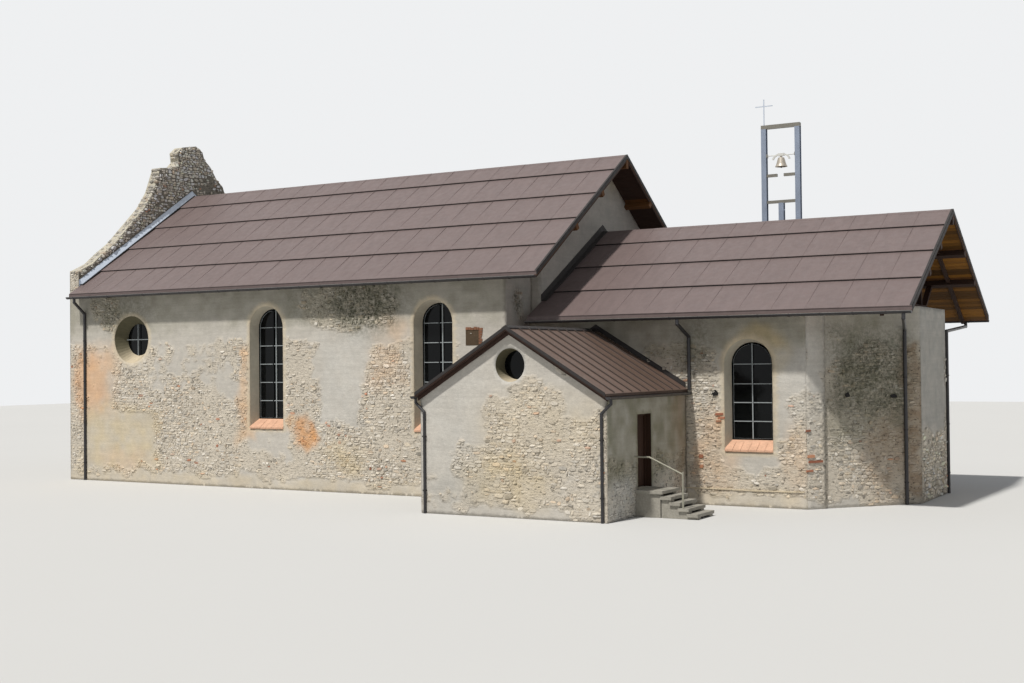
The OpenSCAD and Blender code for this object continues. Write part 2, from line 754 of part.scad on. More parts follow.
// What the west slope leaves free for the nave's corner
module nave_corner_cut() {
    translate([sac_x0 - 500, -nave_half, 0]) cube([east_x - sac_x0 + 500, nave_half, nave_wall_h]);
}

module sacristy_roof_boards() {
    color([0.4, 0.28, 0.18]) {
        difference() {
            translate([2 * sac_x, 0, 0]) mirror([1, 0, 0]) sacristy_slope(sheet_t, sheet_t + board_t);
            nave_corner_cut();
        }
        sacristy_slope(sheet_t, sheet_t + board_t);
    }
}

module sacristy_roof_east() {
    color([0.45, 0.36, 0.34]) sacristy_slope(0, sheet_t);
}

module sacristy_roof_west() {
    color([0.45, 0.36, 0.34]) difference() {
        translate([2 * sac_x, 0, 0]) mirror([1, 0, 0]) sacristy_slope(0, sheet_t);
        nave_corner_cut();
    }
}

module gutter_y(y0, y1, x, z) {
    translate([x, y1, z]) rotate([90, 0, 0]) difference() {
        cylinder(h = y1 - y0, r = gutter_r);
        translate([0, 0, 3]) cylinder(h = y1 - y0 - 6, r = gutter_r - 3);
        translate([-gutter_r - eps, 0, -eps])
            cube([2 * gutter_r + 2 * eps, 2 * gutter_r, y1 - y0 + 2 * eps]);
    }
}

sac_gutter_z = sac_eave_z - sheet_t - board_t + 20;

module sacristy_gutters() {
    y0 = -sac_front_y - sac_verge_out;
    color([0.4, 0.34, 0.32]) {
        gutter_y(y0, -choir_half - 20, sac_x + sac_roof_half + gutter_r, sac_gutter_z);
        gutter_y(y0, -nave_half - 20, sac_x - sac_roof_half - gutter_r, sac_gutter_z);
    }
}

module sacristy_downpipes() {
    wall_y = -sac_front_y - pipe_r - seat_gap;
    top_z = sac_gutter_z - gutter_r;
    color([0.4, 0.34, 0.32]) for (side = [-1, 1]) {
        gutter_x = sac_x + side * (sac_roof_half + gutter_r);
        wall_x = sac_x + side * (sac_w / 2 - 120);
        pipe_path([[gutter_x, wall_y, top_z], [gutter_x, wall_y, top_z - 100],
            [wall_x, wall_y, top_z - 350], [wall_x, wall_y, 0]], 40);
    }
}

module sacristy_window_glass() {
    color([0.2, 0.22, 0.24]) translate([sac_x + 10, -sac_front_y + glass_in + glass_t, sac_window_z])
        rotate([90, 0, 0]) cylinder(h = glass_t, r = sac_window_r);
}

// Plank door with two strap hinges; it opens inward on pintles let into the north jamb
door_x = sac_x1 - 200;             // outer face of the leaf
pintle_r = 9;
strap_t = 8;
strap_h = 50;
eye_r = 18;
leaf_y1 = -door_y + door_w / 2;
hinge_x = door_x - door_t - eye_r;
hinge_y = leaf_y1 - 10;
leaf_z0 = sac_floor_z + 10;
strap_zs = [leaf_z0 + 300, leaf_z0 + door_h - 300];

module sacristy_door_frame() {
    stop_x = door_x + 6;
    stop_w = 60;
    color([0.24, 0.17, 0.11]) {
        for (y = [door_y0, door_y1 - stop_w])
            translate([stop_x, y, sac_floor_z]) cube([60, stop_w, door_top - sac_floor_z]);
        translate([stop_x, door_y0 + stop_w, door_top - stop_w])
            cube([60, door_y1 - door_y0 - 2 * stop_w, stop_w]);
    }
    color([0.2, 0.19, 0.18]) for (z = strap_zs) {
        translate([hinge_x, hinge_y, z - strap_h / 2 - 25]) cylinder(h = strap_h + 25, r = pintle_r);
        translate([hinge_x - pintle_r, hinge_y, z - strap_h / 2 - 25]) cube([2 * pintle_r, door_y1 - hinge_y, 20]);
    }
}

module sacristy_door() {
    color([0.3, 0.2, 0.13])
        translate([door_x - door_t, leaf_y1 - door_w, leaf_z0]) cube([door_t, door_w, door_h]);
    color([0.2, 0.19, 0.18]) for (z = strap_zs) difference() {
        union() {
            translate([door_x - door_t - strap_t, leaf_y1 - door_w + 90, z - strap_h / 2])
                cube([strap_t, hinge_y - leaf_y1 + door_w - 90, strap_h]);
            translate([hinge_x, hinge_y, z - strap_h / 2]) cylinder(h = strap_h, r = eye_r - 2);
        }
        translate([hinge_x, hinge_y, z - strap_h]) cylinder(h = 2 * strap_h, r = pintle_r + 0.05);
    }
}

stair_y0 = -door_y - stair_w / 2 - 80;
rise = (sac_floor_z - 10) / (tread_count + 1);

module stair_landing() {
    top = sac_floor_z - 10;
    color([0.72, 0.71, 0.68]) {
        translate([sac_x1, stair_y0, top - slab_t]) cube([landing_l, stair_w, slab_t]);
        for (y = [stair_y0 + 60, stair_y0 + stair_w - 260])
            translate([sac_x1, y, 0]) cube([landing_l - 80, 200, top - slab_t]);
    }
}

module stair_treads() {
    color([0.7, 0.69, 0.66]) for (i = [1 : tread_count]) {
        x = sac_x1 + landing_l + (i - 1) * tread_run;
        top = sac_floor_z - 10 - i * rise;
        translate([x - 60, stair_y0, top - slab_t]) cube([tread_run + 60, stair_w, slab_t]);
        for (y = [stair_y0 + 60, stair_y0 + stair_w - 260])
            translate([x - 50, y, 0]) cube([tread_run + 30, 200, top - slab_t / 2]);
    }
}

module stair_handrail() {
    y = stair_y0 + 30;
    top = sac_floor_z - 10;
    end_x = sac_x1 + landing_l + 2 * tread_run + 80;
    end_z = top - 3 * rise;
    color([0.88, 0.88, 0.86]) {
        pipe_path([[sac_x1, y, top + rail_h], [sac_x1 + 430, y, top + rail_h],
            [end_x, y, end_z + rail_h]], 22);
        translate([end_x, y, end_z]) cylinder(h = rail_h + 60, r = 26);
    }
}

// One steel post with an I section, its flanges facing along Y
module steel_post(x, z1) {
    translate([x, frame_y, 0]) linear_extrude(z1) union() {
        for (side = [-1, 1]) translate([-post_s / 2, side * (post_s / 2 - flange_t / 2) - flange_t / 2])
            square([post_s, flange_t]);
        translate([-web_t / 2, -post_s / 2 + flange_t]) square([web_t, post_s - 2 * flange_t]);
    }
}

flange_t = 14;
web_t = 9;
axle_r = 15;
post_x0 = frame_x - frame_w / 2;
post_x1 = frame_x + frame_w / 2;
beam_s = 100;
beam_gap = 240;                    // from the bell's mouth down to the upper beam
beam_spacing = 930;
bell_top_z = axle_z - 60;
upper_beam_z = bell_top_z - bell_h - beam_gap - beam_s;
lower_beam_z = upper_beam_z - beam_spacing;
top_beam_h = 130;
brace_s = 80;
brace_zs = [choir_wall_h - 2980, choir_wall_h - 680];

module bell_frame_posts() {
    color([0.55, 0.58, 0.62]) {
        steel_post(post_x0, frame_h);
        steel_post(post_x1, frame_h);
        steel_post(frame_x, lower_beam_z);
    }
}

// The upper beam is two stubs that leave a gap in the middle
stub_west = 455;
stub_east = 505;

module bell_frame_beams() {
    color([0.55, 0.58, 0.62]) {
        translate([post_x0 - post_s / 2, frame_y - post_s / 2, frame_h])
            cube([frame_w + post_s, post_s, top_beam_h]);
        translate([post_x0 + web_t / 2, frame_y - beam_s / 2, lower_beam_z])
            cube([frame_w - web_t, beam_s, beam_s]);
        translate([post_x0 + web_t / 2, frame_y - beam_s / 2, upper_beam_z])
            cube([stub_west, beam_s, beam_s]);
        translate([post_x1 - web_t / 2 - stub_east, frame_y - beam_s / 2, upper_beam_z])
            cube([stub_east, beam_s, beam_s]);
        for (x = [post_x0, post_x1], z = brace_zs)
            translate([x - brace_s / 2, choir_half, z])
                cube([brace_s, frame_y - post_s / 2 - choir_half, brace_s]);
        for (side = [-1, 1]) {
            x = frame_x + side * (frame_w / 2 - post_s / 2);
            translate([side > 0 ? x - 20 : x, frame_y - post_s / 2, axle_z - 60]) difference() {
                cube([20, post_s, 120]);
                translate([-1, post_s / 2, 60]) rotate([0, 90, 0]) cylinder(h = 22, r = axle_r + 0.05);
            }
        }
    }
}

bell_t = 0.045 * bell_d;

yoke_half = 320;
yoke_rise = 210;
yoke_t = 55;
yoke_d = 60;
yoke_steps = 16;
head_w = 220;
head_h = 90;

// Points along half an ellipse, from one springing to the other
function yoke_arc(inset) = [for (i = [0 : yoke_steps]) let (a = 180 * i / yoke_steps)
    [(yoke_half - inset) * cos(a), (yoke_rise - inset) * sin(a)]];

function reversed(list) = [for (i = [len(list) - 1 : -1 : 0]) list[i]];

// Headstock: the axle turns in the two side plates, and a curved yoke crosses it
module bell_headstock() {
    inner = frame_w - post_s;
    yoke_z = axle_z + head_h - 2 * axle_r - yoke_rise;
    color([0.88, 0.88, 0.85]) {
        translate([frame_x - inner / 2 + 2, frame_y, axle_z]) rotate([0, 90, 0])
            cylinder(h = inner - 4, r = axle_r);
        translate([frame_x - head_w / 2, frame_y - 40, axle_z - 2 * axle_r]) cube([head_w, 80, head_h]);
        translate([frame_x, frame_y + yoke_d / 2, yoke_z]) rotate([90, 0, 0]) linear_extrude(yoke_d)
            polygon(concat(yoke_arc(0), reversed(yoke_arc(yoke_t))));
    }
}

module bell_shell() {
    r = bell_d / 2;
    k = bell_t;
    color([0.85, 0.83, 0.76]) {
        translate([frame_x, frame_y, bell_top_z - bell_h]) rotate_extrude()
            polygon([[r, 0], [r * 0.8, bell_h * 0.25], [r * 0.64, bell_h * 0.6], [r * 0.5, bell_h * 0.9],
                [0, bell_h], [0, bell_h - k], [r * 0.5 - k, bell_h * 0.9 - k], [r * 0.64 - k, bell_h * 0.6],
                [r * 0.8 - k, bell_h * 0.25], [r - k, 0]]);
        translate([frame_x - 40, frame_y - 25, bell_top_z]) cube([80, 50, 30]);
    }
}

module bell_clapper() {
    rod_r = 8;
    // The rod ends under the bell's crown, which is a flat cone
    crown_fall = 0.1 * bell_h * rod_r / (bell_d / 4 - bell_t);
    ball_z = bell_top_z - bell_t - bell_h;
    color([0.25, 0.24, 0.23]) {
        translate([frame_x, frame_y, ball_z]) cylinder(h = bell_h - crown_fall - seat_gap, r = rod_r);
        translate([frame_x, frame_y, ball_z]) sphere(26);
    }
}

module frame_cross() {
    z = frame_h + top_beam_h;
    color([0.75, 0.76, 0.78]) translate([post_x0, frame_y, z]) {
        translate([-15, -15, 0]) cube([30, 30, cross_h]);
        translate([-315, -15, cross_h - 260]) cube([630, 30, 30]);
    }
}

nave_south_wall();
nave_north_wall();
west_gable_wall();
chancel_gable_wall();
nave_floor();
nave_wall_plates();
nave_purlins();
nave_roof_boards();
nave_roof_south();
nave_roof_north();
nave_gutters();
nave_downpipe();
ruin_flashing();
nave_window_glass();
nave_window_sills();
west_door();
choir_south_wall();
choir_north_wall();
apse_southeast_wall();
apse_east_wall();
apse_northeast_wall();
choir_floor();
choir_wall_plates();
choir_purlins();
choir_roof_boards();
choir_roof_south();
choir_roof_north();
choir_gable_truss();
choir_gutters();
choir_downpipes();
choir_window_glass();
choir_window_sills();
sacristy_front_wall();
sacristy_west_wall();
sacristy_east_wall_south();
sacristy_east_wall_north();
sacristy_door_lintel();
sacristy_floor();
sacristy_roof_boards();
sacristy_roof_east();
sacristy_roof_west();
sacristy_gutters();
sacristy_downpipes();
sacristy_window_glass();
sacristy_door_frame();
sacristy_door();
stair_landing();
stair_treads();
stair_handrail();
bell_frame_posts();
bell_frame_beams();
bell_headstock();
bell_shell();
bell_clapper();
frame_cross();
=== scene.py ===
"""Looks of the small chapel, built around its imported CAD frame. Lengths are metres."""
import math
import bmesh
import bpy
import numpy as np
from mathutils import Matrix, Vector, geometry


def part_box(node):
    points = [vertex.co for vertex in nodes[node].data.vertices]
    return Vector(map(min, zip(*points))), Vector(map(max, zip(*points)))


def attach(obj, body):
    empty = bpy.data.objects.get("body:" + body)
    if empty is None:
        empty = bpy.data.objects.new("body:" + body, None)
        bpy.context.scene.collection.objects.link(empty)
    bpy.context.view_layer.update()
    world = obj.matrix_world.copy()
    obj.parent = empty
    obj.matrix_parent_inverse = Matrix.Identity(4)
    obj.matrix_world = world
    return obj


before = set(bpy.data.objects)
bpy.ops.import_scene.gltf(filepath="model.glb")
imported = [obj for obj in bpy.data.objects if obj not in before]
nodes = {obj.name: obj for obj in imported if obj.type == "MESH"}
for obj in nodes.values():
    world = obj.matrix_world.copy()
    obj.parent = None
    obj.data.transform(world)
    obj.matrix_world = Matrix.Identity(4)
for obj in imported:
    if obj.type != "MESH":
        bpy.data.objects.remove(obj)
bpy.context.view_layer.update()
rng = np.random.default_rng(7)


def low(node):
    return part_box(node)[0]


def high(node):
    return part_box(node)[1]


def srgb(r, g, b):
    """Linear colour of an sRGB colour given as 0 to 255."""
    c = np.array([r, g, b]) / 255
    return np.where(c <= 0.04045, c / 12.92, ((c + 0.055) / 1.055) ** 2.4)


# Roofs as lines to build on

SHEET = 0.06
TIER_STEP = 0.045
ROOF_BUILD = 0.14


class Roof:
    """A gabled roof: half its width, the heights of ridge and eaves, its tiers and where its ridge lies."""

    def __init__(self, half, ridge, eave, tiers=1, centre=None):
        self.half, self.ridge, self.eave = half, ridge, eave
        self.slope = (ridge - eave) / half
        self.count = tiers
        self.centre = centre

    def line(self, r):
        """Height of the sheets at a distance from the ridge."""
        return self.ridge - self.slope * abs(r)

    def band(self, r0, r1, above, below, over=0.0):
        """Outline of a strip along the slope between two heights over its line."""
        return [(r0, self.line(r0) + above), (r1 + over, self.line(r1) + above),
                (r1 + over, self.line(r1) + below), (r0, self.line(r0) + below)]

    def place(self, side, t, r, z):
        """A point: t runs along the ridge and r is the distance from it on the given side."""
        return (t, side * r, z) if self.centre is None else (self.centre + side * r, t, z)

    def extrude(self, batch, side, ring, t0, t1, tint=None):
        batch.prism(*[[self.place(side, t, r, z) for r, z in ring] for t in (t0, t1)], tint)

    def tiers(self):
        """Each tier's start and end distance from the ridge and their heights."""
        first = 0.6
        pitch = self.half / (self.count - 1 + first)
        out = []
        for i in range(self.count):
            r0 = pitch * (i - 1 + first) if i else 0
            r1 = pitch * (i + first)
            out.append((r0, self.line(r0) - (TIER_STEP if i else 0), r1, self.line(r1)))
        return out


# Main places, read from the frame

WEST = low("nave_south_wall").x
EAST = high("nave_south_wall").x
NAVE_Y = high("nave_north_wall").y
NAVE_ROOF_X0 = low("nave_roof_south").x
NAVE_ROOF_X1 = high("nave_roof_south").x
GABLE_X = high("chancel_gable_wall").x
CHOIR_Y = high("choir_north_wall").y
CHOIR_TOP = high("choir_south_wall").z
CHOIR_ROOF_X1 = high("choir_roof_south").x
APSE_X = high("choir_south_wall").x
APSE_END = high("apse_east_wall").x
APSE_Y = high("apse_east_wall").y
SAC_X0 = low("sacristy_front_wall").x
SAC_X1 = high("sacristy_front_wall").x
SAC_Y = -low("sacristy_front_wall").y
SAC_X = (SAC_X0 + SAC_X1) / 2
SAC_WALL_TOP = high("sacristy_west_wall").z
SAC_GABLE_TOP = high("sacristy_front_wall").z
DOOR_LO, DOOR_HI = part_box("sacristy_door_frame")

NAVE_ROOF = Roof(high("nave_roof_north").y, high("nave_roof_north").z,
                 low("nave_roof_south").z + SHEET + TIER_STEP, 5)
CHOIR_ROOF = Roof(high("choir_roof_north").y, high("choir_roof_north").z,
                  low("choir_roof_south").z + SHEET + TIER_STEP, 4)
ANNEX_ROOF = Roof(high("sacristy_roof_east").x - SAC_X, high("sacristy_roof_east").z,
                  low("sacristy_roof_east").z + SHEET, centre=SAC_X)
NAVE_SKIN_TOP = NAVE_ROOF.line(NAVE_Y) - ROOF_BUILD - 0.01
CHOIR_SKIN_TOP = CHOIR_ROOF.line(CHOIR_Y) - ROOF_BUILD - 0.01

# The part of the chancel gable that stands out over the choir reaches this far to each side
BLOCK_Y = 4.23
# The annex roof hides the end of the nave's wall up to here
NAVE_END_Z = 3.55

# The apse's slanted walls turn by this angle, and each starts with a flat strip that stands proud
TURN = math.atan2(APSE_END - APSE_X, CHOIR_Y - APSE_Y)
STRIP_WIDE = 0.6
STRIP_PROUD = 0.06

# How thick the skin on the walls is, where it is plaster and where the rubble is bare
PLASTER = 0.016
BARE = 0.003

NAVE_GLASS_LO, NAVE_GLASS_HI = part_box("nave_window_glass")
CHOIR_GLASS_LO, CHOIR_GLASS_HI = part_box("choir_window_glass")
NAVE_WINDOW_W = 1.21
NAVE_WINDOW_GAP = 6.51
NAVE_WINDOW_XS = (NAVE_GLASS_HI.x - NAVE_WINDOW_W / 2 - NAVE_WINDOW_GAP, NAVE_GLASS_HI.x - NAVE_WINDOW_W / 2)
CHOIR_WINDOW_X = (CHOIR_GLASS_LO.x + CHOIR_GLASS_HI.x) / 2
CHOIR_WINDOW_W = CHOIR_GLASS_HI.x - CHOIR_GLASS_LO.x
SPLAY = 0.095
SILL_DROP = 0.3

# Round openings: radius at the glass, how much wider they are at the wall's face, and their centres
OCULUS_R = 0.56
OCULUS_SPLAY = 0.26
OCULUS_X = NAVE_GLASS_LO.x + OCULUS_R
OCULUS_Z = 4.97
SAC_OCULUS_R = 0.38
SAC_OCULUS_SPLAY = 0.06
SAC_OCULUS_X = SAC_X + 0.01
SAC_OCULUS_Z = 3.96

# The blocked niche near the nave's east end, as x0, x1, z0 and z1
NICHE = (7.72, 8.2, 4.55, 5.02)

# The broken top of the west gable from north to south: share of the half width, and of the height
# that stands over the roof's line
RUIN_H = 2.05
RUIN_SHARES = (
    (1, 0.16), (0.87, 0.085), (0.78, 0.26), (0.61, 0.135), (0.54, 0.345), (0.435, 0.395),
    (0.365, 0.655), (0.31, 0.87), (0.25, 0.88), (0.184, 0.99), (0.127, 1), (0.108, 1.11),
    (0.043, 1.08), (-0.087, 1.09), (-0.134, 1.065), (-0.125, 0.87), (-0.17, 0.825),
    (-0.296, 1.015), (-0.322, 0.875), (-0.365, 0.655), (-0.443, 0.49), (-0.614, 0.34),
    (-0.696, 0.265), (-0.809, 0.245), (-0.887, 0.21), (-1, 0.27))
RUIN_CREST = [(a * NAVE_Y, NAVE_ROOF.line(a * NAVE_Y) + b * RUIN_H) for a, b in RUIN_SHARES]
# The ruin's east face starts this far over the roof's line, just above its sheet strip
STRIP_H = 0.24


# Looks


def add_node(tree, kind, values=(), **settings):
    """A new shader node with its settings, its inputs linked or set."""
    made = tree.nodes.new(kind)
    for key, value in settings.items():
        setattr(made, key, value)
    for key, value in dict(values).items():
        if isinstance(value, bpy.types.NodeSocket):
            tree.links.new(value, made.inputs[key])
        else:
            made.inputs[key].default_value = value
    return made


class Look:
    """A material being built: its node tree and its Principled shader."""

    def __init__(self, name, roughness, metallic=0.0, specular=0.5):
        self.material = bpy.data.materials.new(name)
        self.material.use_nodes = True
        self.tree = self.material.node_tree
        self.shader = self.tree.nodes["Principled BSDF"]
        self.shader.inputs["Roughness"].default_value = roughness
        self.shader.inputs["Metallic"].default_value = metallic
        self.shader.inputs["Specular IOR Level"].default_value = specular
        self.place = self.node("ShaderNodeTexCoord").outputs["Object"]

    def node(self, kind, values=(), **settings):
        return add_node(self.tree, kind, values, **settings)

    def stretched(self, scale):
        return self.node("ShaderNodeMapping", {"Vector": self.place, "Scale": scale}).outputs[0]

    def noise(self, scale, detail=4.0, rough=0.55, vector=None):
        values = {"Vector": vector or self.place, "Scale": scale, "Detail": detail, "Roughness": rough}
        return self.node("ShaderNodeTexNoise", values).outputs["Fac"]

    def cells(self, scale):
        values = {"Vector": self.place, "Scale": scale}
        return self.node("ShaderNodeTexVoronoi", values, feature="F1").outputs[0]

    def between(self, value, low_in, high_in, low_out=0.0, high_out=1.0):
        values = {0: value, 1: low_in, 2: high_in, 3: low_out, 4: high_out}
        return self.node("ShaderNodeMapRange", values).outputs[0]

    def times(self, a, b):
        return self.node("ShaderNodeMath", {0: a, 1: b}, operation="MULTIPLY").outputs[0]

    def mix(self, share, a, b, how="MIX"):
        made = self.node("ShaderNodeMix", {0: share, 6: a, 7: b}, data_type="RGBA", blend_type=how)
        return made.outputs[2]

    def attribute(self, name, output="Color"):
        return self.node("ShaderNodeAttribute", attribute_name=name).outputs[output]

    def shade(self, scale, dark, light):
        """A grey factor between dark and light, to multiply a colour with."""
        return self.between(self.noise(scale, 5.0), 0.3, 0.7, dark, light)

    def tinted(self, base, *factors):
        for factor in factors:
            base = self.mix(1.0, base, factor, "MULTIPLY")
        return base

    def bump(self, height, distance, under=None):
        values = {"Height": height, "Distance": distance, "Strength": 1.0}
        if under is not None:
            values["Normal"] = under
        return self.node("ShaderNodeBump", values).outputs[0]

    def finish(self, colour=None, roughness=None, normal=None):
        for key, value in (("Base Color", colour), ("Roughness", roughness), ("Normal", normal)):
            if value is not None:
                self.tree.links.new(value, self.shader.inputs[key])
        return self.material


def opaque(rgb):
    """A shader colour from an sRGB colour given as 0 to 255."""
    return (*[float(v) for v in srgb(*rgb)], 1.0)


def aged_wall_look(name):
    """Plaster and rubble alike: the tint attribute gives the colour and cover says how smooth."""
    look = Look(name, 0.93, specular=0.2)
    bare = look.between(look.attribute("cover", "Fac"), 0.25, 0.85, 1.0, 0.0)
    flat = look.stretched((1.0, 1.0, 2.1))
    crevice = look.between(look.noise(8.5, 8.0, 0.7, flat), 0.36, 0.45, 0.26, 1.04)
    layers = look.noise(2.4, 3.0, 0.55, look.stretched((0.22, 0.22, 4.6)))
    courses = look.between(layers, 0.36, 0.64, 0.955, 1.035)
    colour = look.tinted(look.attribute("tint"), look.shade(1.3, 0.93, 1.05), look.shade(7.0, 0.93, 1.05),
                         look.shade(42.0, 0.9, 1.07), look.mix(bare, courses, crevice))
    smear = look.times(look.times(look.between(look.noise(4.0, 7.0, 0.7, flat), 0.5, 0.68), bare), 0.55)
    colour = look.mix(smear, colour, look.mix(0.55, colour, opaque((218, 210, 196))))
    growth = look.between(look.noise(11.0, 9.0, 0.8), 0.4, 0.6, 0.1, 1.0)
    growth = look.times(growth, look.attribute("mould", "Fac"))
    colour = look.mix(growth, colour, opaque((70, 72, 56)))
    coarse = look.times(look.noise(9.0, 8.0, 0.68, flat), look.between(bare, 0.0, 1.0, 0.2, 1.0))
    wave = look.bump(look.noise(2.2, 2.0), 0.02)
    grit = look.bump(look.noise(90.0, 3.0), 0.0015, wave)
    return look.finish(colour, None, look.bump(coarse, 0.055, grit))


def plaster_look(name, rgb):
    look = Look(name, 0.92, specular=0.25)
    colour = look.tinted(opaque(rgb), look.shade(1.4, 0.9, 1.06), look.shade(9.0, 0.93, 1.05))
    return look.finish(colour, None, look.bump(look.noise(30.0, 5.0), 0.004))


def sheet_look(name, rgb, along):
    """Painted roof sheet: slightly wavy, with dust washed down the slope."""
    look = Look(name, 0.5, specular=0.4)
    washed = look.stretched([0.9 if axis == along else 0.25 for axis in "xyz"])
    wash = look.between(look.noise(6.0, 6.0, 0.6, washed), 0.3, 0.7, 0.9, 1.08)
    spots = look.between(look.noise(24.0, 6.0, 0.7), 0.35, 0.7, 0.95, 1.05)
    base = look.mix(look.attribute("tinted", "Fac"), opaque(rgb), look.attribute("tint"))
    roughness = look.between(look.noise(5.0, 5.0), 0.3, 0.7, 0.42, 0.6)
    normal = look.bump(look.noise(160.0, 2.0), 0.0004, look.bump(look.noise(1.6, 2.0), 0.012))
    return look.finish(look.tinted(base, wash, spots), roughness, normal)


def timber_look(name, rgb, along, by_plank=False):
    look = Look(name, 0.72, specular=0.3)
    grain = look.noise(4.0, 8.0, 0.65, look.stretched([0.6 if axis == along else 9.0 for axis in "xyz"]))
    colour = look.tinted(opaque(rgb), look.between(grain, 0.3, 0.7, 0.62, 1.12), look.shade(1.3, 0.85, 1.1))
    if by_plank:
        colour = look.tinted(colour, look.attribute("tint"))
    return look.finish(colour, look.between(grain, 0.3, 0.7, 0.62, 0.85), look.bump(grain, 0.004))


def metal_look(name, rgb, roughness, metallic, mottle=(0.85, 1.1)):
    look = Look(name, roughness, metallic)
    scale = 14.0
    colour = look.tinted(opaque(rgb), look.shade(scale, *mottle), look.shade(scale * 0.12, 0.92, 1.06))
    rough = look.between(look.noise(scale * 0.6, 5.0), 0.3, 0.7, roughness - 0.08, roughness + 0.12)
    return look.finish(colour, rough, look.bump(look.noise(scale * 3, 3.0), 0.0008))


def galvanised_look(name, rgb):
    look = Look(name, 0.5, 0.15)
    spangle = look.between(look.cells(38.0), 0.0, 0.7, 0.82, 1.12)
    rough = look.between(look.noise(9.0, 5.0), 0.3, 0.7, 0.34, 0.56)
    return look.finish(look.tinted(opaque(rgb), spangle, look.shade(2.5, 0.85, 1.05)), rough,
                       look.bump(look.noise(60.0, 3.0), 0.0006))


def glass_look(name, rgb):
    look = Look(name, 0.07, specular=0.16)
    rough = look.between(look.noise(6.0, 5.0), 0.4, 0.75, 0.05, 0.16)
    return look.finish(look.tinted(opaque(rgb), look.shade(3.0, 0.6, 1.3)), rough,
                       look.bump(look.noise(2.0, 2.0), 0.004))


def tile_look(name, rgb):
    look = Look(name, 0.8, specular=0.3)
    colour = look.tinted(opaque(rgb), look.shade(4.0, 0.86, 1.08), look.shade(26.0, 0.84, 1.08))
    return look.finish(colour, None, look.bump(look.noise(40.0, 5.0), 0.004))


def step_look(name, rgb):
    look = Look(name, 0.88, specular=0.3)
    colour = look.tinted(opaque(rgb), look.shade(3.0, 0.85, 1.08), look.shade(22.0, 0.82, 1.08))
    normal = look.bump(look.noise(60.0, 4.0), 0.003, look.bump(look.noise(8.0, 6.0), 0.02))
    return look.finish(colour, None, normal)


ROOF_BROWN = (108, 94, 92)
SAC_BROWN = (100, 81, 71)
LOOKS = {name: maker(name, *rest) for name, maker, *rest in (
    ("aged_wall", aged_wall_look),
    ("inner_plaster", plaster_look, (188, 182, 166)),
    ("roof_sheet", sheet_look, ROOF_BROWN, "x"),
    ("sacristy_sheet", sheet_look, SAC_BROWN, "y"),
    ("roof_timber", timber_look, (106, 70, 36), "x"),
    ("verge_timber", timber_look, (60, 42, 34), "x"),
    ("door_wood", timber_look, (54, 33, 20), "z"),
    ("soffit_board", timber_look, (128, 86, 28), "x", True),
    ("gutter_metal", metal_look, (48, 47, 49), 0.4, 0.2),
    # Near black: dark metal, also used as painted shade on the verge covers and the choir's upstand
    ("dark_metal", metal_look, (36, 32, 31), 0.7, 0.0),
    # Light grey bead on the dark gutters: painted highlight along the gutter's front edge
    ("gutter_bead_highlight", metal_look, (122, 120, 118), 0.5, 0.1),
    ("shadow_gap", metal_look, (20, 17, 17), 0.9, 0.0),
    # Zinc lifted to a bright bluish white as painted reflection of the sky
    ("zinc", metal_look, (196, 206, 220), 0.4, 0.15, (0.93, 1.04)),
    ("window_bar", metal_look, (150, 156, 158), 0.55, 0.1),
    ("window_glass", glass_look, (9, 11, 12)),
    ("sill_tile", tile_look, (216, 172, 144)),
    ("stair_stone", step_look, (158, 154, 144)),
    ("floor_stone", step_look, (150, 144, 132)),
    ("rail_paint", metal_look, (150, 147, 132), 0.5, 0.1, (0.85, 1.06)),
    ("bell_yoke", metal_look, (222, 222, 216), 0.5, 0.0, (0.9, 1.04)),
    ("frame_steel", galvanised_look, (144, 155, 173)),
    ("frame_beam", galvanised_look, (130, 127, 118)),
    ("bell_metal", metal_look, (178, 170, 158), 0.45, 0.3),
    ("niche_shade", step_look, (80, 66, 50)),
    ("niche_brick", step_look, (134, 94, 72)),
    ("dark_iron", metal_look, (58, 56, 56), 0.5, 0.7),
)}


# Mesh helpers


def add_mesh(name, points, faces, look, slot, body="building", smooth=False, **layers):
    """A piece on a body: the colours in tint and the shares in the other layers go to its points."""
    mesh = bpy.data.meshes.new(name)
    mesh.from_pydata([tuple(p) for p in points], [], [tuple(f) for f in faces])
    mesh.update()
    mesh.materials.append(LOOKS[look])
    if smooth:
        mesh.shade_smooth()
    for key, values in layers.items():
        if key == "tint":
            layer = mesh.attributes.new(key, "FLOAT_COLOR", "POINT")
            filled = np.ones((len(points), 4), np.float32)
            filled[:, :3] = values
            layer.data.foreach_set("color", filled.ravel())
        else:
            layer = mesh.attributes.new(key, "FLOAT", "POINT")
            layer.data.foreach_set("value", np.asarray(values, np.float32))
    made = bpy.data.objects.new(name, mesh)
    bpy.context.scene.collection.objects.link(made)
    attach(made, body)
    return made


def around(sides):
    """The angles of a regular ring's corners."""
    return [2 * math.pi * k / sides for k in range(sides)]


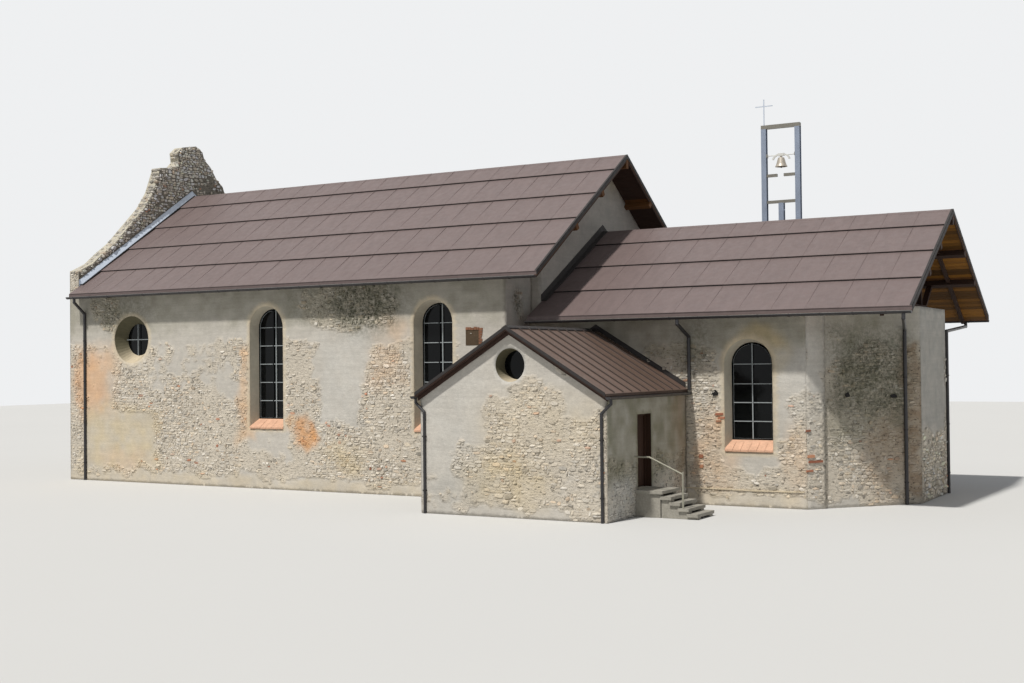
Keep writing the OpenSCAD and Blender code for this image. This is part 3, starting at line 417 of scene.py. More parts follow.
class Batch:
    """Many small solids collected for one joined mesh."""

    def __init__(self):
        self.points = []
        self.faces = []
        self.tints = []

    def add(self, points, faces, tint=None):
        start = len(self.points)
        self.points.extend(tuple(float(v) for v in p) for p in points)
        self.faces.extend(tuple(start + i for i in f) for f in faces)
        self.tints.extend([tint if tint is not None else (1, 1, 1)] * len(points))

    def block(self, lo, hi, tint=None):
        """A box between two corners."""
        points = [(x, y, z) for x in (lo[0], hi[0]) for y in (lo[1], hi[1]) for z in (lo[2], hi[2])]
        faces = [(0, 1, 3, 2), (4, 6, 7, 5), (0, 4, 5, 1), (2, 3, 7, 6), (0, 2, 6, 4), (1, 5, 7, 3)]
        self.add(points, faces, tint)

    def prism(self, ring_a, ring_b, tint=None):
        """A solid between two outlines with the same number of corners."""
        n = len(ring_a)
        faces = [(i, (i + 1) % n, n + (i + 1) % n, n + i) for i in range(n)]
        faces.append(tuple(reversed(range(n))))
        faces.append(tuple(range(n, 2 * n)))
        self.add(list(ring_a) + list(ring_b), faces, tint)

    def along_x(self, ring, x0, x1, tint=None):
        """A solid with one (y, z) outline from x0 to x1."""
        self.prism(*[[(x, y, z) for y, z in ring] for x in (x0, x1)], tint)

    def rod(self, x0, x1, y, z, radius, sides=8):
        """A round bar along x."""
        self.along_x([(y + radius * math.cos(a), z + radius * math.sin(a)) for a in around(sides)], x0, x1)

    def ring(self, centre, radius, height, thick, sides=20):
        """A flat band round an upright pipe."""
        cx, cy, cz = centre
        points = []
        far, top = radius + thick, cz + height
        for r, z in ((radius, cz), (far, cz), (far, top), (radius, top)):
            points.extend((cx + r * math.cos(a), cy + r * math.sin(a), z) for a in around(sides))
        faces = []
        for level in range(4):
            after = (level + 1) % 4
            for k in range(sides):
                j = (k + 1) % sides
                faces.append((level * sides + k, level * sides + j, after * sides + j, after * sides + k))
        self.add(points, faces)

    def make(self, name, look, slot, body="building", tinted=False):
        """The joined mesh, its faces turned outward; tinted says that its tints colour it."""
        layers = {}
        if tinted:
            share = "cover" if look == "aged_wall" else "tinted"
            layers = {"tint": self.tints, share: np.ones(len(self.points))}
        made = add_mesh(name, self.points, self.faces, look, slot, body, **layers)
        bm = bmesh.new()
        bm.from_mesh(made.data)
        bmesh.ops.recalc_face_normals(bm, faces=bm.faces)
        bm.to_mesh(made.data)
        bm.free()


# Wall faces: zones of plaster and rubble


def field(s, z, size, seed):
    """A smooth random field between -1 and 1, the same on each run."""
    a, b = s / size, z / size
    i, j = np.floor(a), np.floor(b)
    fa, fb = a - i, b - j
    fa, fb = fa * fa * (3 - 2 * fa), fb * fb * (3 - 2 * fb)

    def corner(p, q):
        v = np.sin(p * 127.1 + q * 311.7 + seed * 74.7) * 43758.5453
        return (v - np.floor(v)) * 2 - 1

    top = corner(i, j + 1) * (1 - fa) + corner(i + 1, j + 1) * fa
    bottom = corner(i, j) * (1 - fa) + corner(i + 1, j) * fa
    return bottom * (1 - fb) + top * fb


def smooth_step(value, lower, upper):
    t = np.clip((value - lower) / (upper - lower), 0, 1)
    return t * t * (3 - 2 * t)


def zone_weight(s, z, zone, seed):
    """How far each point is inside a ragged box (s0, z0, s1, z1) or inside its ellipse."""
    shape, s0, z0, s1, z1, edge = zone
    ragged_s = s + 0.22 * field(s, z, 0.7, seed) + 0.09 * field(s, z, 0.21, seed + 1)
    ragged_z = z + 0.22 * field(s, z, 0.7, seed + 2) + 0.09 * field(s, z, 0.21, seed + 3)
    if shape == "box":
        inside = np.minimum.reduce([ragged_s - s0, s1 - ragged_s, ragged_z - z0, z1 - ragged_z])
    else:
        rs, rz = (s1 - s0) / 2, (z1 - z0) / 2
        reach = np.sqrt(((ragged_s - s0 - rs) / rs) ** 2 + ((ragged_z - z0 - rz) / rz) ** 2)
        inside = (1 - reach) * min(rs, rz)
    return smooth_step(inside, -edge, edge)


def inside_polygon(u, z, polygon):
    inside = np.zeros(len(u), bool)
    for (u0, z0), (u1, z1) in zip(polygon, polygon[1:] + polygon[:1]):
        if z0 != z1:
            inside ^= ((z0 > z) != (z1 > z)) & (u < (u1 - u0) * (z - z0) / (z1 - z0) + u0)
    return inside


def dense(loop, step):
    """The loop's corners with more points between them, none farther apart than step."""
    out = []
    for (u0, z0), (u1, z1) in zip(loop, loop[1:] + loop[:1]):
        n = max(1, math.ceil(math.hypot(u1 - u0, z1 - z0) / step))
        out.extend((u0 + (u1 - u0) * k / n, z0 + (z1 - z0) * k / n) for k in range(n))
    return out


class Face:
    """One outer wall face. A point on it is u along the wall and z up; s is its place in the zones.

    At each end, wraps says how much its layers reach round the corner. Rims is how wide the plaster
    is round the openings and its colour."""

    def __init__(self, name, start, end, outline, holes=(), s0=0.0, way=1, wraps=(0, 0), zones=(), patches=(),
                 base=0.3, ground=srgb(203, 194, 179), seed=1, rims=None):
        self.name = name
        self.start = Vector(start)
        span = Vector(end) - self.start
        self.length = span.length
        self.along = span.normalized()
        self.out = Vector((self.along.y, -self.along.x))
        self.outline = [tuple(p) for p in outline]
        self.holes = [[tuple(p) for p in hole] for hole in holes]
        self.s0, self.way, self.wraps = s0, way, wraps
        self.zones, self.patches, self.base = zones, patches, base
        self.ground, self.seed, self.rims = ground, seed, rims

    def s_of(self, u):
        return self.s0 + self.way * u

    def at(self, u, z, d):
        """Points in the frame at u, z and at d outside the wall's face."""
        x = self.start.x + self.along.x * u + self.out.x * d
        y = self.start.y + self.along.y * u + self.out.y * d
        return np.stack([x, y, z + 0 * x], -1)

    def holds(self, u, z):
        """True for points inside the outline and outside the openings."""
        keep = inside_polygon(u, z, self.outline)
        for hole in self.holes:
            keep &= ~inside_polygon(u, z, hole)
        return keep

    def hole_distance(self, u, z):
        """Distance to the nearest opening's edge."""
        best = np.full(len(u), 9.0)
        for hole in self.holes:
            for hu, hz in dense(hole, 0.1):
                best = np.minimum(best, np.hypot(u - hu, z - hz))
        return best

    def cover(self, u, z):
        """1 where plaster covers the wall and 0 where the rubble shows."""
        s = self.s_of(u)
        value = np.full(len(u), self.base)
        for k, (amount, *zone) in enumerate(self.zones):
            weight = zone_weight(s, z, zone, self.seed + 10 * k)
            value = value * (1 - weight) + amount * weight
        value = value + 0.24 * field(s, z, 0.33, self.seed + 5) + 0.16 * field(s, z, 0.12, self.seed + 6)
        value = value + 0.14 * field(s, z, 1.1, self.seed + 7)
        if self.holes:
            value = value + smooth_step(self.rims[0] - self.hole_distance(u, z), -0.05, 0.05)
        return smooth_step(value, 0.42, 0.6)

    def patch_weight(self, k, u, z):
        colour, amount, *zone = self.patches[k]
        return amount * zone_weight(self.s_of(u), z, zone, self.seed + 300 + 10 * k)

    def mould(self, u, z):
        """How much dark growth there is, from 0 to 1."""
        value = np.zeros(len(u))
        for k, patch in enumerate(self.patches):
            if patch[0] is MOULD:
                value = np.maximum(value, self.patch_weight(k, u, z))
        return value

    def tint(self, u, z, colours):
        s = self.s_of(u)
        for k, patch in enumerate(self.patches):
            if patch[0] is MOULD:
                continue
            weight = self.patch_weight(k, u, z) * (0.75 + 0.35 * field(s, z, 0.25, self.seed + 9 + k))
            weight = np.clip(weight, 0, 1)[:, None]
            colours = colours * (1 - weight) + patch[0] * weight
        if self.rims:
            close = smooth_step(self.rims[0] - self.hole_distance(u, z), -0.03, 0.05)[:, None] * 0.7
            colours = colours * (1 - close) + self.rims[1] * close
        return colours


PLASTER_TINT = srgb(191, 186, 177)


def skin_points(face, step):
    """A jittered triangle net over a face that follows its outline and openings: points and triangles."""
    loops = [dense(face.outline, step)] + [dense(hole, min(step, 0.07)) for hole in face.holes]
    rim = np.array([p for loop in loops for p in loop])
    lo, hi = rim.min(0), rim.max(0)
    grid_u, grid_z = np.meshgrid(np.arange(lo[0], hi[0], step), np.arange(lo[1], hi[1], step * 0.87))
    grid_u = grid_u + (np.arange(grid_u.shape[0]) % 2)[:, None] * step / 2
    u, z = [axis.ravel() + rng.uniform(-0.22, 0.22, axis.size) * step for axis in (grid_u, grid_z)]
    keep = face.holds(u, z)
    u, z = u[keep], z[keep]
    near = np.full(len(u), 9.0)
    for p in rim:
        near = np.minimum(near, np.hypot(u - p[0], z - p[1]))
    u, z = u[near > step * 0.45], z[near > step * 0.45]
    edges = []
    start = 0
    for loop in loops:
        n = len(loop)
        edges.extend((start + i, start + (i + 1) % n) for i in range(n))
        start += n
    flat = [Vector(p) for p in rim] + [Vector(p) for p in zip(u, z)]
    cut = geometry.delaunay_2d_cdt(flat, edges, [], 0, 1e-6)
    points = np.array([tuple(p) for p in cut[0]])
    triangles = np.array([f for f in cut[2] if len(f) == 3])
    return points, triangles[face.holds(*points[triangles].mean(1).T)]


def border_of(triangles):
    """The edges that belong to one triangle only."""
    count = {}
    for a, b, c in triangles:
        for e in ((a, b), (b, c), (c, a)):
            key = (min(e), max(e))
            count[key] = None if key in count else e
    return [e for e in count.values() if e is not None]


def skin(face, step=0.11):
    """The plaster layer of a face, with its outline, its openings and its broken edges."""
    flat, triangles = skin_points(face, step)
    u, z = flat.T
    cover = face.cover(u, z)
    left, right = u < 1e-4, u > face.length - 1e-4
    side = left * (face.wraps[0] > 0) | right * (face.wraps[1] > 0)
    wave = 0.004 * field(u, z, 0.5, face.seed + 21) + 0.003 * field(u, z, 0.17, face.seed + 22)
    depth = np.where(side, PLASTER, cover * (PLASTER + wave) + (1 - cover) * (BARE + 0.3 * wave))
    moved = u - left * face.wraps[0] * depth + right * face.wraps[1] * depth
    colours = cover[:, None] * PLASTER_TINT + (1 - cover[:, None]) * face.ground
    colours = face.tint(u, z, colours)
    mould = face.mould(u, z)
    border = border_of(triangles)
    used = sorted({i for e in border for i in e})
    back = {old: len(u) + k for k, old in enumerate(used)}
    behind = face.at(u[used], z[used], np.full(len(used), -0.01))
    faces = [tuple(int(i) for i in f) for f in triangles]
    faces.extend((int(b), int(a), back[a], back[b]) for a, b in border)
    # The points behind the broken edges take 0.8 of the colour: painted shade on the plaster's edges
    add_mesh("skin_" + face.name, np.concatenate([face.at(moved, z, depth), behind]), faces, "aged_wall",
             "lime_plaster", smooth=True, tint=np.concatenate([colours, colours[used] * 0.8]),
             cover=np.concatenate([cover, cover[used]]), mould=np.concatenate([mould, mould[used]]))


STONE_TINTS = np.array([srgb(*c) for c in (
    (216, 209, 197), (204, 196, 182), (224, 218, 208), (190, 184, 174), (214, 201, 180),
    (202, 196, 186), (196, 186, 170), (214, 195, 172), (160, 154, 144), (210, 204, 194))])
BRICK_TINTS = np.array([srgb(*c) for c in ((190, 128, 100), (202, 146, 114), (172, 112, 88))])


def stone_cells(face, tall, wide):
    """Places and half sizes of stones laid in rough courses that rise and fall along the wall."""
    cells = []
    heights = [p[1] for p in face.outline]
    z = min(heights) - 0.1
    while z < max(heights) + 0.2:
        h = tall[0] + (tall[1] - tall[0]) * rng.random() ** 1.7
        u = rng.uniform(-0.2, 0.0)
        while u < face.length:
            w = (wide[0] + (wide[1] - wide[0]) * rng.random() ** 1.8) * (0.75 + 2.0 * h)
            split = rng.random() < 0.3 and h > 0.09
            part = rng.uniform(0.35, 0.65) if split else 1.0
            cells.append((u + w / 2, z + h * part / 2, w / 2, h * part / 2))
            if split:
                cells.append((u + w / 2, z + h * (1 + part) / 2, w / 2, h * (1 - part) / 2))
            u += w
        z += h
    u, z, ru, rz = np.array(cells).T
    z = z + 0.05 * field(u, z, 0.8, face.seed + 31) + 0.02 * field(u, z, 0.25, face.seed + 32)
    return u + rng.uniform(-0.012, 0.012, len(u)), z, ru, rz


def stone_tints(face, u, z, sides, bricks, pale):
    """One colour a stone, some of them smeared with lime, with painted shade darkening its sides towards the
    wall, for all its points.
    """
    n = len(u)
    tints = STONE_TINTS[rng.integers(0, len(STONE_TINTS), n)]
    brick = rng.random(n) < bricks
    tints = np.where(brick[:, None], BRICK_TINTS[rng.integers(0, len(BRICK_TINTS), n)], tints)
    tints = tints * (1.1 - 0.46 * rng.random(n) ** 2)[:, None]
    smear = (rng.random(n) ** 1.5 * 0.9)[:, None]
    tints = tints * (1 - smear) + face.ground * 1.04 * smear
    tints = np.minimum(face.tint(u, z, tints) * pale, 0.86)
    colours = np.repeat(tints[:, None, :], 2 * sides + 1, axis=1)
    # The foot ring of each stone is drawn at 0.42 of its colour: painted shade on the stone's sides
    colours[:, :sides] *= 0.42
    return colours.reshape(-1, 3)


def stones(face, tall=(0.055, 0.14), wide=(0.07, 0.3), proud=(0.01, 0.042), bricks=0.02, lime=0.34,
           pale=1.06):
    """Irregular stones in rough courses wherever the plaster has come off; lime hides some of them."""
    u, z, ru, rz = stone_cells(face, tall, wide)
    s = face.s_of(u)
    hidden = lime + 0.75 * field(s, z, 0.8, face.seed + 41) + 0.3 * field(s, z, 0.2, face.seed + 42)
    keep = (face.cover(u, z) < 0.35) & (rng.random(len(u)) > hidden)
    for du, dz in ((0, 0), (-1, 0), (1, 0), (0, -1), (0, 1)):
        keep &= face.holds(u + du * ru * 0.95, z + dz * rz * 0.95)
    u, z = u[keep], z[keep]
    ru, rz = ru[keep][:, None], rz[keep][:, None]
    n, sides = len(u), 8
    if n == 0:
        return
    turn = 2 * math.pi * (np.arange(sides)[None, :] + 0.5 + rng.uniform(-0.36, 0.36, (n, sides))) / sides
    power = rng.uniform(2.6, 5.0, n)[:, None]
    reach = (np.abs(np.cos(turn)) ** power + np.abs(np.sin(turn)) ** power) ** (-1 / power)
    reach *= rng.uniform(0.74, 1.02, (n, sides))
    lean = rng.uniform(-0.3, 0.3, (n, 1))
    shape_u = np.cos(turn) * reach * ru
    shape_z = np.sin(turn) * reach * rz + lean * np.cos(turn) * rz
    rise = rng.uniform(*proud, n)[:, None] * (0.6 + 5 * np.minimum(ru, rz))
    tilt = rng.uniform(-0.45, 0.45, (n, 2))
    edge = rise * (0.8 + tilt[:, :1] * shape_u / ru + tilt[:, 1:] * shape_z / rz)
    mid_u, mid_z = u[:, None], z[:, None]
    points = np.concatenate([
        face.at(mid_u + shape_u, mid_z + shape_z, np.full((n, sides), -0.012)),
        face.at(mid_u + shape_u * 0.86, mid_z + shape_z * 0.84, edge),
        face.at(mid_u + 0.2 * shape_u[:, :1], mid_z + 0.2 * shape_z[:, :1], rise)], axis=1)
    per = 2 * sides + 1
    first = np.arange(n)[:, None] * per
    faces = []
    for k in range(sides):
        j = (k + 1) % sides
        faces.extend((first + [k, j, sides + j, sides + k]).tolist())
    for k in range(sides):
        faces.extend((first + [sides + k, sides + (k + 1) % sides, 2 * sides]).tolist())
    add_mesh("stones_" + face.name, points.reshape(-1, 3), faces, "aged_wall", "rubble_stone",
             tint=stone_tints(face, u, z, sides, bricks, pale), cover=np.full(n * per, 0.55),
             mould=np.repeat(face.mould(u, z), per))


# The outer walls: outlines, openings and where plaster, rubble, stains and painted shade are

CREAM = srgb(206, 192, 166)
YELLOW = srgb(204, 184, 140)
ORANGE = srgb(214, 162, 114)
PALE_ORANGE = srgb(214, 180, 144)
MOULD = srgb(92, 90, 72)
# Olive painted shade: the wall's colour in the eaves' shade and on faces turned from the sun
PAINTED_SHADE_OLIVE = srgb(128, 126, 106)
GREY = srgb(156, 156, 152)
WHITE = srgb(198, 196, 190)
BROWN = srgb(150, 128, 104)
# Painted shade inside the round openings
REVEAL_PAINTED_SHADE = srgb(92, 88, 70)

# Zones are (cover, shape, s0, z0, s1, z1, soft edge), patches (colour, share, and the same)
NAVE_ZONES = (
    (1.0, "box", -12, 4.75, 12, 8, 0.12),
    (0.95, "box", -8.5, 0.55, -4.9, 2.4, 0.15),
    (0.75, "box", -8.6, 2.2, -6.9, 4.6, 0.2),
    (1.1, "box", 2.25, 2.15, 3.85, 5.0, 0.1),
    (1.0, "box", 2.1, 3.6, 4.0, 5.0, 0.12),
    (0.5, "box", -5.0, 3.2, -1.1, 4.9, 0.3),
    (0.7, "box", 7.3, 2.0, 9.3, 5.0, 0.2),
    (0.15, "ellipse", 1.3, 5.0, 5.4, 6.7, 0.25),
    (0.3, "ellipse", -8.2, 5.3, -6.6, 6.6, 0.2),
    (1.0, "box", -12, -1, 12, 0.36, 0.08),
    (0.75, "box", -0.9, 0.9, 1.1, 2.2, 0.3))
NAVE_PATCHES = (
    # The first patch, olive under the eaves, is painted shade of the eaves, partly with damp staining
    (PAINTED_SHADE_OLIVE, 0.55, "box", -12, 5.3, 12, 8, 0.4),
    (MOULD, 1.0, "ellipse", 2.4, 5.0, 5.3, 6.6, 0.5),
    (MOULD, 0.5, "ellipse", -8.3, 5.3, -5.2, 6.6, 0.4),
    (MOULD, 0.35, "ellipse", 0.9, 5.3, 2.8, 6.6, 0.3),
    (PALE_ORANGE, 0.7, "box", -8.7, 2.3, -6.9, 4.6, 0.4),
    (ORANGE, 0.55, "ellipse", -8.9, 2.5, -7.3, 4.6, 0.35),
    (PALE_ORANGE, 0.5, "ellipse", 4.6, 4.7, 5.9, 5.4, 0.3),
    (YELLOW, 0.5, "box", -8.5, 0.5, -4.8, 2.5, 0.3),
    (ORANGE, 1.0, "ellipse", 1.15, 1.2, 2.05, 2.2, 0.14),
    (PALE_ORANGE, 0.9, "ellipse", 0.85, 2.05, 1.35, 2.5, 0.12),
    (PALE_ORANGE, 0.75, "box", -1.15, 1.5, -0.62, 4.7, 0.15),
    (YELLOW, 0.5, "ellipse", 2.6, 0.6, 4.0, 1.5, 0.3),
    (WHITE, 0.5, "box", 2.2, 2.1, 3.9, 4.9, 0.2),
    (PALE_ORANGE, 0.4, "ellipse", 4.1, 3.2, 5.4, 4.6, 0.3),
    (PALE_ORANGE, 0.5, "ellipse", -7.6, 0.3, -5.6, 1.1, 0.3),
    (CREAM, 0.6, "box", -12, -1, 12, 0.4, 0.12))
CHOIR_ZONES = (
    (1.0, "box", 8, 4.4, 19, 7, 0.1),
    (0.9, "box", 15.3, 0.95, 16.9, 1.7, 0.2),
    (1.1, "box", 16.5, 1.9, 17.9, 5.0, 0.2),
    (0.2, "ellipse", 17.1, 0.9, 18.2, 3.4, 0.2),
    (1.0, "box", 15.1, 3.9, 17.4, 5.0, 0.12),
    (1.0, "box", 8, -1, 19, 0.34, 0.08))
CHOIR_PATCHES = (
    # The first patch, olive under the eaves, is painted shade of the eaves, partly with damp staining
    (PAINTED_SHADE_OLIVE, 0.6, "box", 8, 4.2, 18, 7, 0.4),
    (YELLOW, 0.6, "ellipse", 15.3, 3.6, 17.1, 4.95, 0.2),
    (WHITE, 0.5, "box", 16.7, 2.4, 17.7, 4.5, 0.2),
    (ORANGE, 0.6, "ellipse", 14.95, 1.95, 15.6, 2.65, 0.12),
    (ORANGE, 0.6, "ellipse", 14.35, 0.9, 14.6, 1.6, 0.1),
    (PALE_ORANGE, 0.5, "ellipse", 14.3, 0.4, 15.6, 2.6, 0.3),
    (PALE_ORANGE, 0.4, "ellipse", 16.9, 0.4, 17.6, 2.2, 0.3),
    (MOULD, 0.5, "ellipse", 13.9, 3.3, 14.9, 5.2, 0.3),
    (CREAM, 0.5, "box", 8, -1, 19, 0.4, 0.12))
SLANT_ZONES = (
    (1.0, "box", -1, 4.35, 5, 7, 0.12),
    (1.1, "box", -0.2, 3.1, 0.55, 7, 0.2),
    (0.8, "box", 0.55, 3.7, 1.6, 7, 0.25),
    (0.9, "box", -1, -1, 5, 0.12, 0.08))
SLANT_PATCHES = (
    (MOULD, 0.85, "box", 0.75, 2.4, 3.3, 4.9, 0.6),
    # The olive patch is painted shade under the roof's overhang
    (PAINTED_SHADE_OLIVE, 0.7, "box", 0.9, 1.9, 3.4, 7, 0.7),
    (BROWN, 0.6, "ellipse", 1.7, 0.2, 3.4, 2.6, 0.4),
    (BROWN, 0.8, "box", 3.1, 0.2, 3.8, 4.4, 0.12),
    (WHITE, 0.5, "box", -0.3, 2.0, 0.55, 4.6, 0.2))
EAST_ZONES = ((1.1, "box", -3, 1.9, 3, 7, 0.15), (0.1, "box", 1.35, -1, 3, 4.2, 0.15))
EAST_PATCHES = ((GREY, 0.6, "box", -3, 2.0, 3, 7, 0.2),)
FRONT_ZONES = (
    (1.0, "box", 8.0, 0.9, 9.6, 4.0, 0.2),
    (1.0, "box", 8.0, 1.9, 10.6, 4.4, 0.25),
    (1.0, "box", 9.5, 3.35, 12.6, 5.5, 0.15),
    (0.75, "box", 8.0, -1, 9.4, 1.2, 0.25),
    (0.9, "box", 12.9, 2.7, 14.4, 3.6, 0.15),
    (0.15, "ellipse", 11.2, 2.4, 12.9, 3.7, 0.2),
    (0.9, "box", 7, -1, 15, 0.16, 0.06))
FRONT_PATCHES = (
    (WHITE, 0.45, "box", 8.3, 1.2, 10.4, 4.0, 0.4),
    (YELLOW, 0.5, "ellipse", 10.0, 0.3, 12.4, 1.7, 0.4),
    (CREAM, 0.5, "ellipse", 10.5, 1.6, 14.3, 3.4, 0.5),
    (GREY, 0.4, "ellipse", 8.8, 0.2, 10.6, 1.3, 0.4))
ANNEX_SIDE_ZONES = ((1.05, "box", -12, 1.5, 0, 6, 0.2), (0.12, "box", -12, -1, 0, 1.4, 0.2))
ANNEX_SIDE_PATCHES = (
    (WHITE, 0.9, "box", -12, -1, 0, 1.15, 0.25),
    # The olive patch is painted shade on the annex's side walls
    (PAINTED_SHADE_OLIVE, 0.85, "box", -12, 0.9, 0, 6, 0.3),
    (WHITE, 0.4, "ellipse", -9.2, 0.2, -7.9, 1.1, 0.2),
    (BROWN, 0.5, "box", -5.2, 0.5, -4.2, 4, 0.25))
GABLE_ZONES = ((1.2, "box", -8, 2.0, 8, 12, 0.2),)
GABLE_PATCHES = ((GREY, 0.5, "box", -8, 4, 8, 12, 0.3), (YELLOW, 0.3, "box", -8, 9.6, 8, 12, 0.4))
END_ZONES = ((1.1, "box", -8, 2.5, 8, 12, 0.2), (0.0, "ellipse", -5.3, 5.35, -4.75, 6.25, 0.12))
END_PATCHES = ((GREY, 0.5, "box", -8, 2, 8, 12, 0.3), (MOULD, 0.7, "ellipse", -5.4, 5.3, -4.7, 6.3, 0.2))
RUIN_ZONES = ((0.6, "box", -8, 0.4, 8, 6.0, 0.4), (0.95, "box", -8, -1, 8, 0.4, 0.1))
RUIN_PATCHES = (
    (GREY, 0.15, "box", -8, 6.4, 8, 14, 0.5),
    (PALE_ORANGE, 0.5, "box", -6.4, 1.0, -5.1, 5.6, 0.3),
    (CREAM, 0.4, "box", -5, 0.3, 5, 5.8, 0.5))

PORTAL_W, PORTAL_H = 1.6, 3.0
SLANT_ALONG = Vector((math.sin(TURN), math.cos(TURN)))
SLANT_OUT = Vector((math.cos(TURN), -math.sin(TURN)))
# How far a layer reaches past the choir's corner and past the apse's, as a share of its depth
CHOIR_WRAP = math.tan((math.pi / 2 - TURN) / 2)
APSE_WRAP = math.tan(TURN / 2)


def upright(width, z0, z1):
    return [(0, z0), (width, z0), (width, z1), (0, z1)]


def arch_loop(centre, width, z0, z1, sides=16):
    """Outline of an opening with a round head, anticlockwise from its lower left corner."""
    half = width / 2
    spring = z1 - half
    head = [(centre + half * math.cos(math.pi * k / sides), spring + half * math.sin(math.pi * k / sides))
            for k in range(sides + 1)]
    return [(centre - half, z0), (centre + half, z0)] + head


def round_loop(centre, z, radius, sides=32):
    return [(centre + radius * math.cos(a), z + radius * math.sin(a)) for a in around(sides)]


def opening(loop, face_s0, way):
    """A loop given in zone coordinates turned into the face's u, kept anticlockwise."""
    turned = [((s - face_s0) * way, z) for s, z in loop]
    return turned if way > 0 else turned[::-1]


def nave_walls():
    """Both long walls, which share their zones, as the hidden side repeats the seen one."""
    holes = [arch_loop(x, NAVE_WINDOW_W + 2 * SPLAY, NAVE_GLASS_LO.z - SILL_DROP, NAVE_GLASS_HI.z + SPLAY)
             for x in NAVE_WINDOW_XS]
    holes.append(round_loop(OCULUS_X, OCULUS_Z, OCULUS_R + OCULUS_SPLAY))
    box = upright(EAST - WEST, 0, NAVE_SKIN_TOP)
    for word, way, x0, x1 in (("south", 1, WEST, EAST), ("north", -1, EAST, WEST)):
        y = -NAVE_Y * way
        yield Face("nave_" + word, (x0, y), (x1, y), box, [opening(h, x0, way) for h in holes], x0, way,
                   (1, 1), NAVE_ZONES, NAVE_PATCHES, 0.2, seed=11, rims=(0.13, CREAM))


def choir_walls():
    """Both long walls; the annex roof cuts the south one, and both reach to the apse's strips."""
    hole = arch_loop(CHOIR_WINDOW_X, CHOIR_WINDOW_W + 2 * SPLAY, CHOIR_GLASS_LO.z - SILL_DROP,
                     CHOIR_GLASS_HI.z + SPLAY)
    wide = APSE_X - EAST
    tip = wide + STRIP_PROUD / SLANT_OUT.x
    step = GABLE_X - EAST
    eaves = [(tip, 0), (tip, CHOIR_TOP), (wide, CHOIR_TOP), (wide, CHOIR_SKIN_TOP), (step, CHOIR_SKIN_TOP),
             (step, CHOIR_TOP), (0, CHOIR_TOP)]
    south = [(0, ANNEX_ROOF.line(EAST - SAC_X)), (SAC_X - EAST, ANNEX_ROOF.ridge),
             (SAC_X1 - EAST, ANNEX_ROOF.line(SAC_X1 - SAC_X)), (SAC_X1 - EAST, 0)] + eaves
    north = [(tip - u, z) for u, z in [(0, 0)] + eaves][::-1]
    style = {"zones": CHOIR_ZONES, "patches": CHOIR_PATCHES, "base": 0.15, "seed": 23, "rims": (0.14, CREAM)}
    yield Face("choir_south", (EAST, -CHOIR_Y), (EAST + tip, -CHOIR_Y), south, [opening(hole, EAST, 1)],
               EAST, 1, (0, CHOIR_WRAP), **style)
    yield Face("choir_north", (EAST + tip, CHOIR_Y), (EAST, CHOIR_Y), north,
               [opening(hole, EAST + tip, -1)], EAST + tip, -1, (CHOIR_WRAP, 0), **style)


def apse_walls():
    """Each slanted wall after its proud strip and the strip's edge, then the east wall."""
    corner = Vector((APSE_X, -CHOIR_Y))
    strip_end = corner + SLANT_ALONG * STRIP_WIDE + SLANT_OUT * STRIP_PROUD
    places = [Vector((APSE_X + STRIP_PROUD / SLANT_OUT.x, -CHOIR_Y)), strip_end,
              strip_end - SLANT_OUT * STRIP_PROUD, Vector((APSE_END, -APSE_Y))]
    widths = (STRIP_WIDE - STRIP_PROUD * SLANT_ALONG.x / SLANT_ALONG.y, STRIP_PROUD,
              math.hypot(APSE_END - APSE_X, CHOIR_Y - APSE_Y) - STRIP_WIDE)
    starts = (0, STRIP_WIDE, STRIP_WIDE)
    wraps = ((CHOIR_WRAP, 1), (1, 0), (0, APSE_WRAP))
    flip = Vector((1, -1))
    for word, way in (("southeast", 1), ("northeast", -1)):
        for k, part in enumerate(("lesene_", "lesene_edge_", "apse_")):
            ends, s0, wrap = places[k:k + 2], starts[k], wraps[k]
            if way < 0:
                ends = [p * flip for p in ends[::-1]]
                s0 += widths[k]
                wrap = wrap[::-1]
            yield Face(part + word, *ends, upright(widths[k], 0, CHOIR_TOP), (), s0, way, wrap, SLANT_ZONES,
                       SLANT_PATCHES, 0.1, seed=31)
    yield Face("apse_east", (APSE_END, -APSE_Y), (APSE_END, APSE_Y), upright(2 * APSE_Y, 0, CHOIR_TOP), (),
               -APSE_Y, 1, (APSE_WRAP, APSE_WRAP), EAST_ZONES, EAST_PATCHES, 0.1, seed=37)


def annex_walls():
    wide = SAC_X1 - SAC_X0
    gable = [(0, 0), (wide, 0), (wide, SAC_WALL_TOP), (wide / 2, SAC_GABLE_TOP), (0, SAC_WALL_TOP)]
    window = round_loop(SAC_OCULUS_X, SAC_OCULUS_Z, SAC_OCULUS_R + SAC_OCULUS_SPLAY)
    yield Face("sacristy_front", (SAC_X0, -SAC_Y), (SAC_X1, -SAC_Y), gable, [opening(window, SAC_X0, 1)],
               SAC_X0, 1, (1, 1), FRONT_ZONES, FRONT_PATCHES, 0.25, seed=41, rims=(0.06, WHITE))
    door = [(DOOR_LO.y, DOOR_LO.z), (DOOR_HI.y, DOOR_LO.z), (DOOR_HI.y, DOOR_HI.z), (DOOR_LO.y, DOOR_HI.z)]
    style = {"zones": ANNEX_SIDE_ZONES, "patches": ANNEX_SIDE_PATCHES, "base": 0.2}
    east = upright(SAC_Y - CHOIR_Y, 0, SAC_WALL_TOP)
    west = upright(SAC_Y - NAVE_Y, 0, SAC_WALL_TOP)
    # The olive round the door is painted shade too
    yield Face("sacristy_east", (SAC_X1, -SAC_Y), (SAC_X1, -CHOIR_Y), east, [opening(door, -SAC_Y, 1)],
               -SAC_Y, 1, (1, 0), seed=43, rims=(0.1, PAINTED_SHADE_OLIVE), **style)
    yield Face("sacristy_west", (SAC_X0, -NAVE_Y), (SAC_X0, -SAC_Y), west, (), -NAVE_Y, -1, (0, 1), seed=47,
               **style)


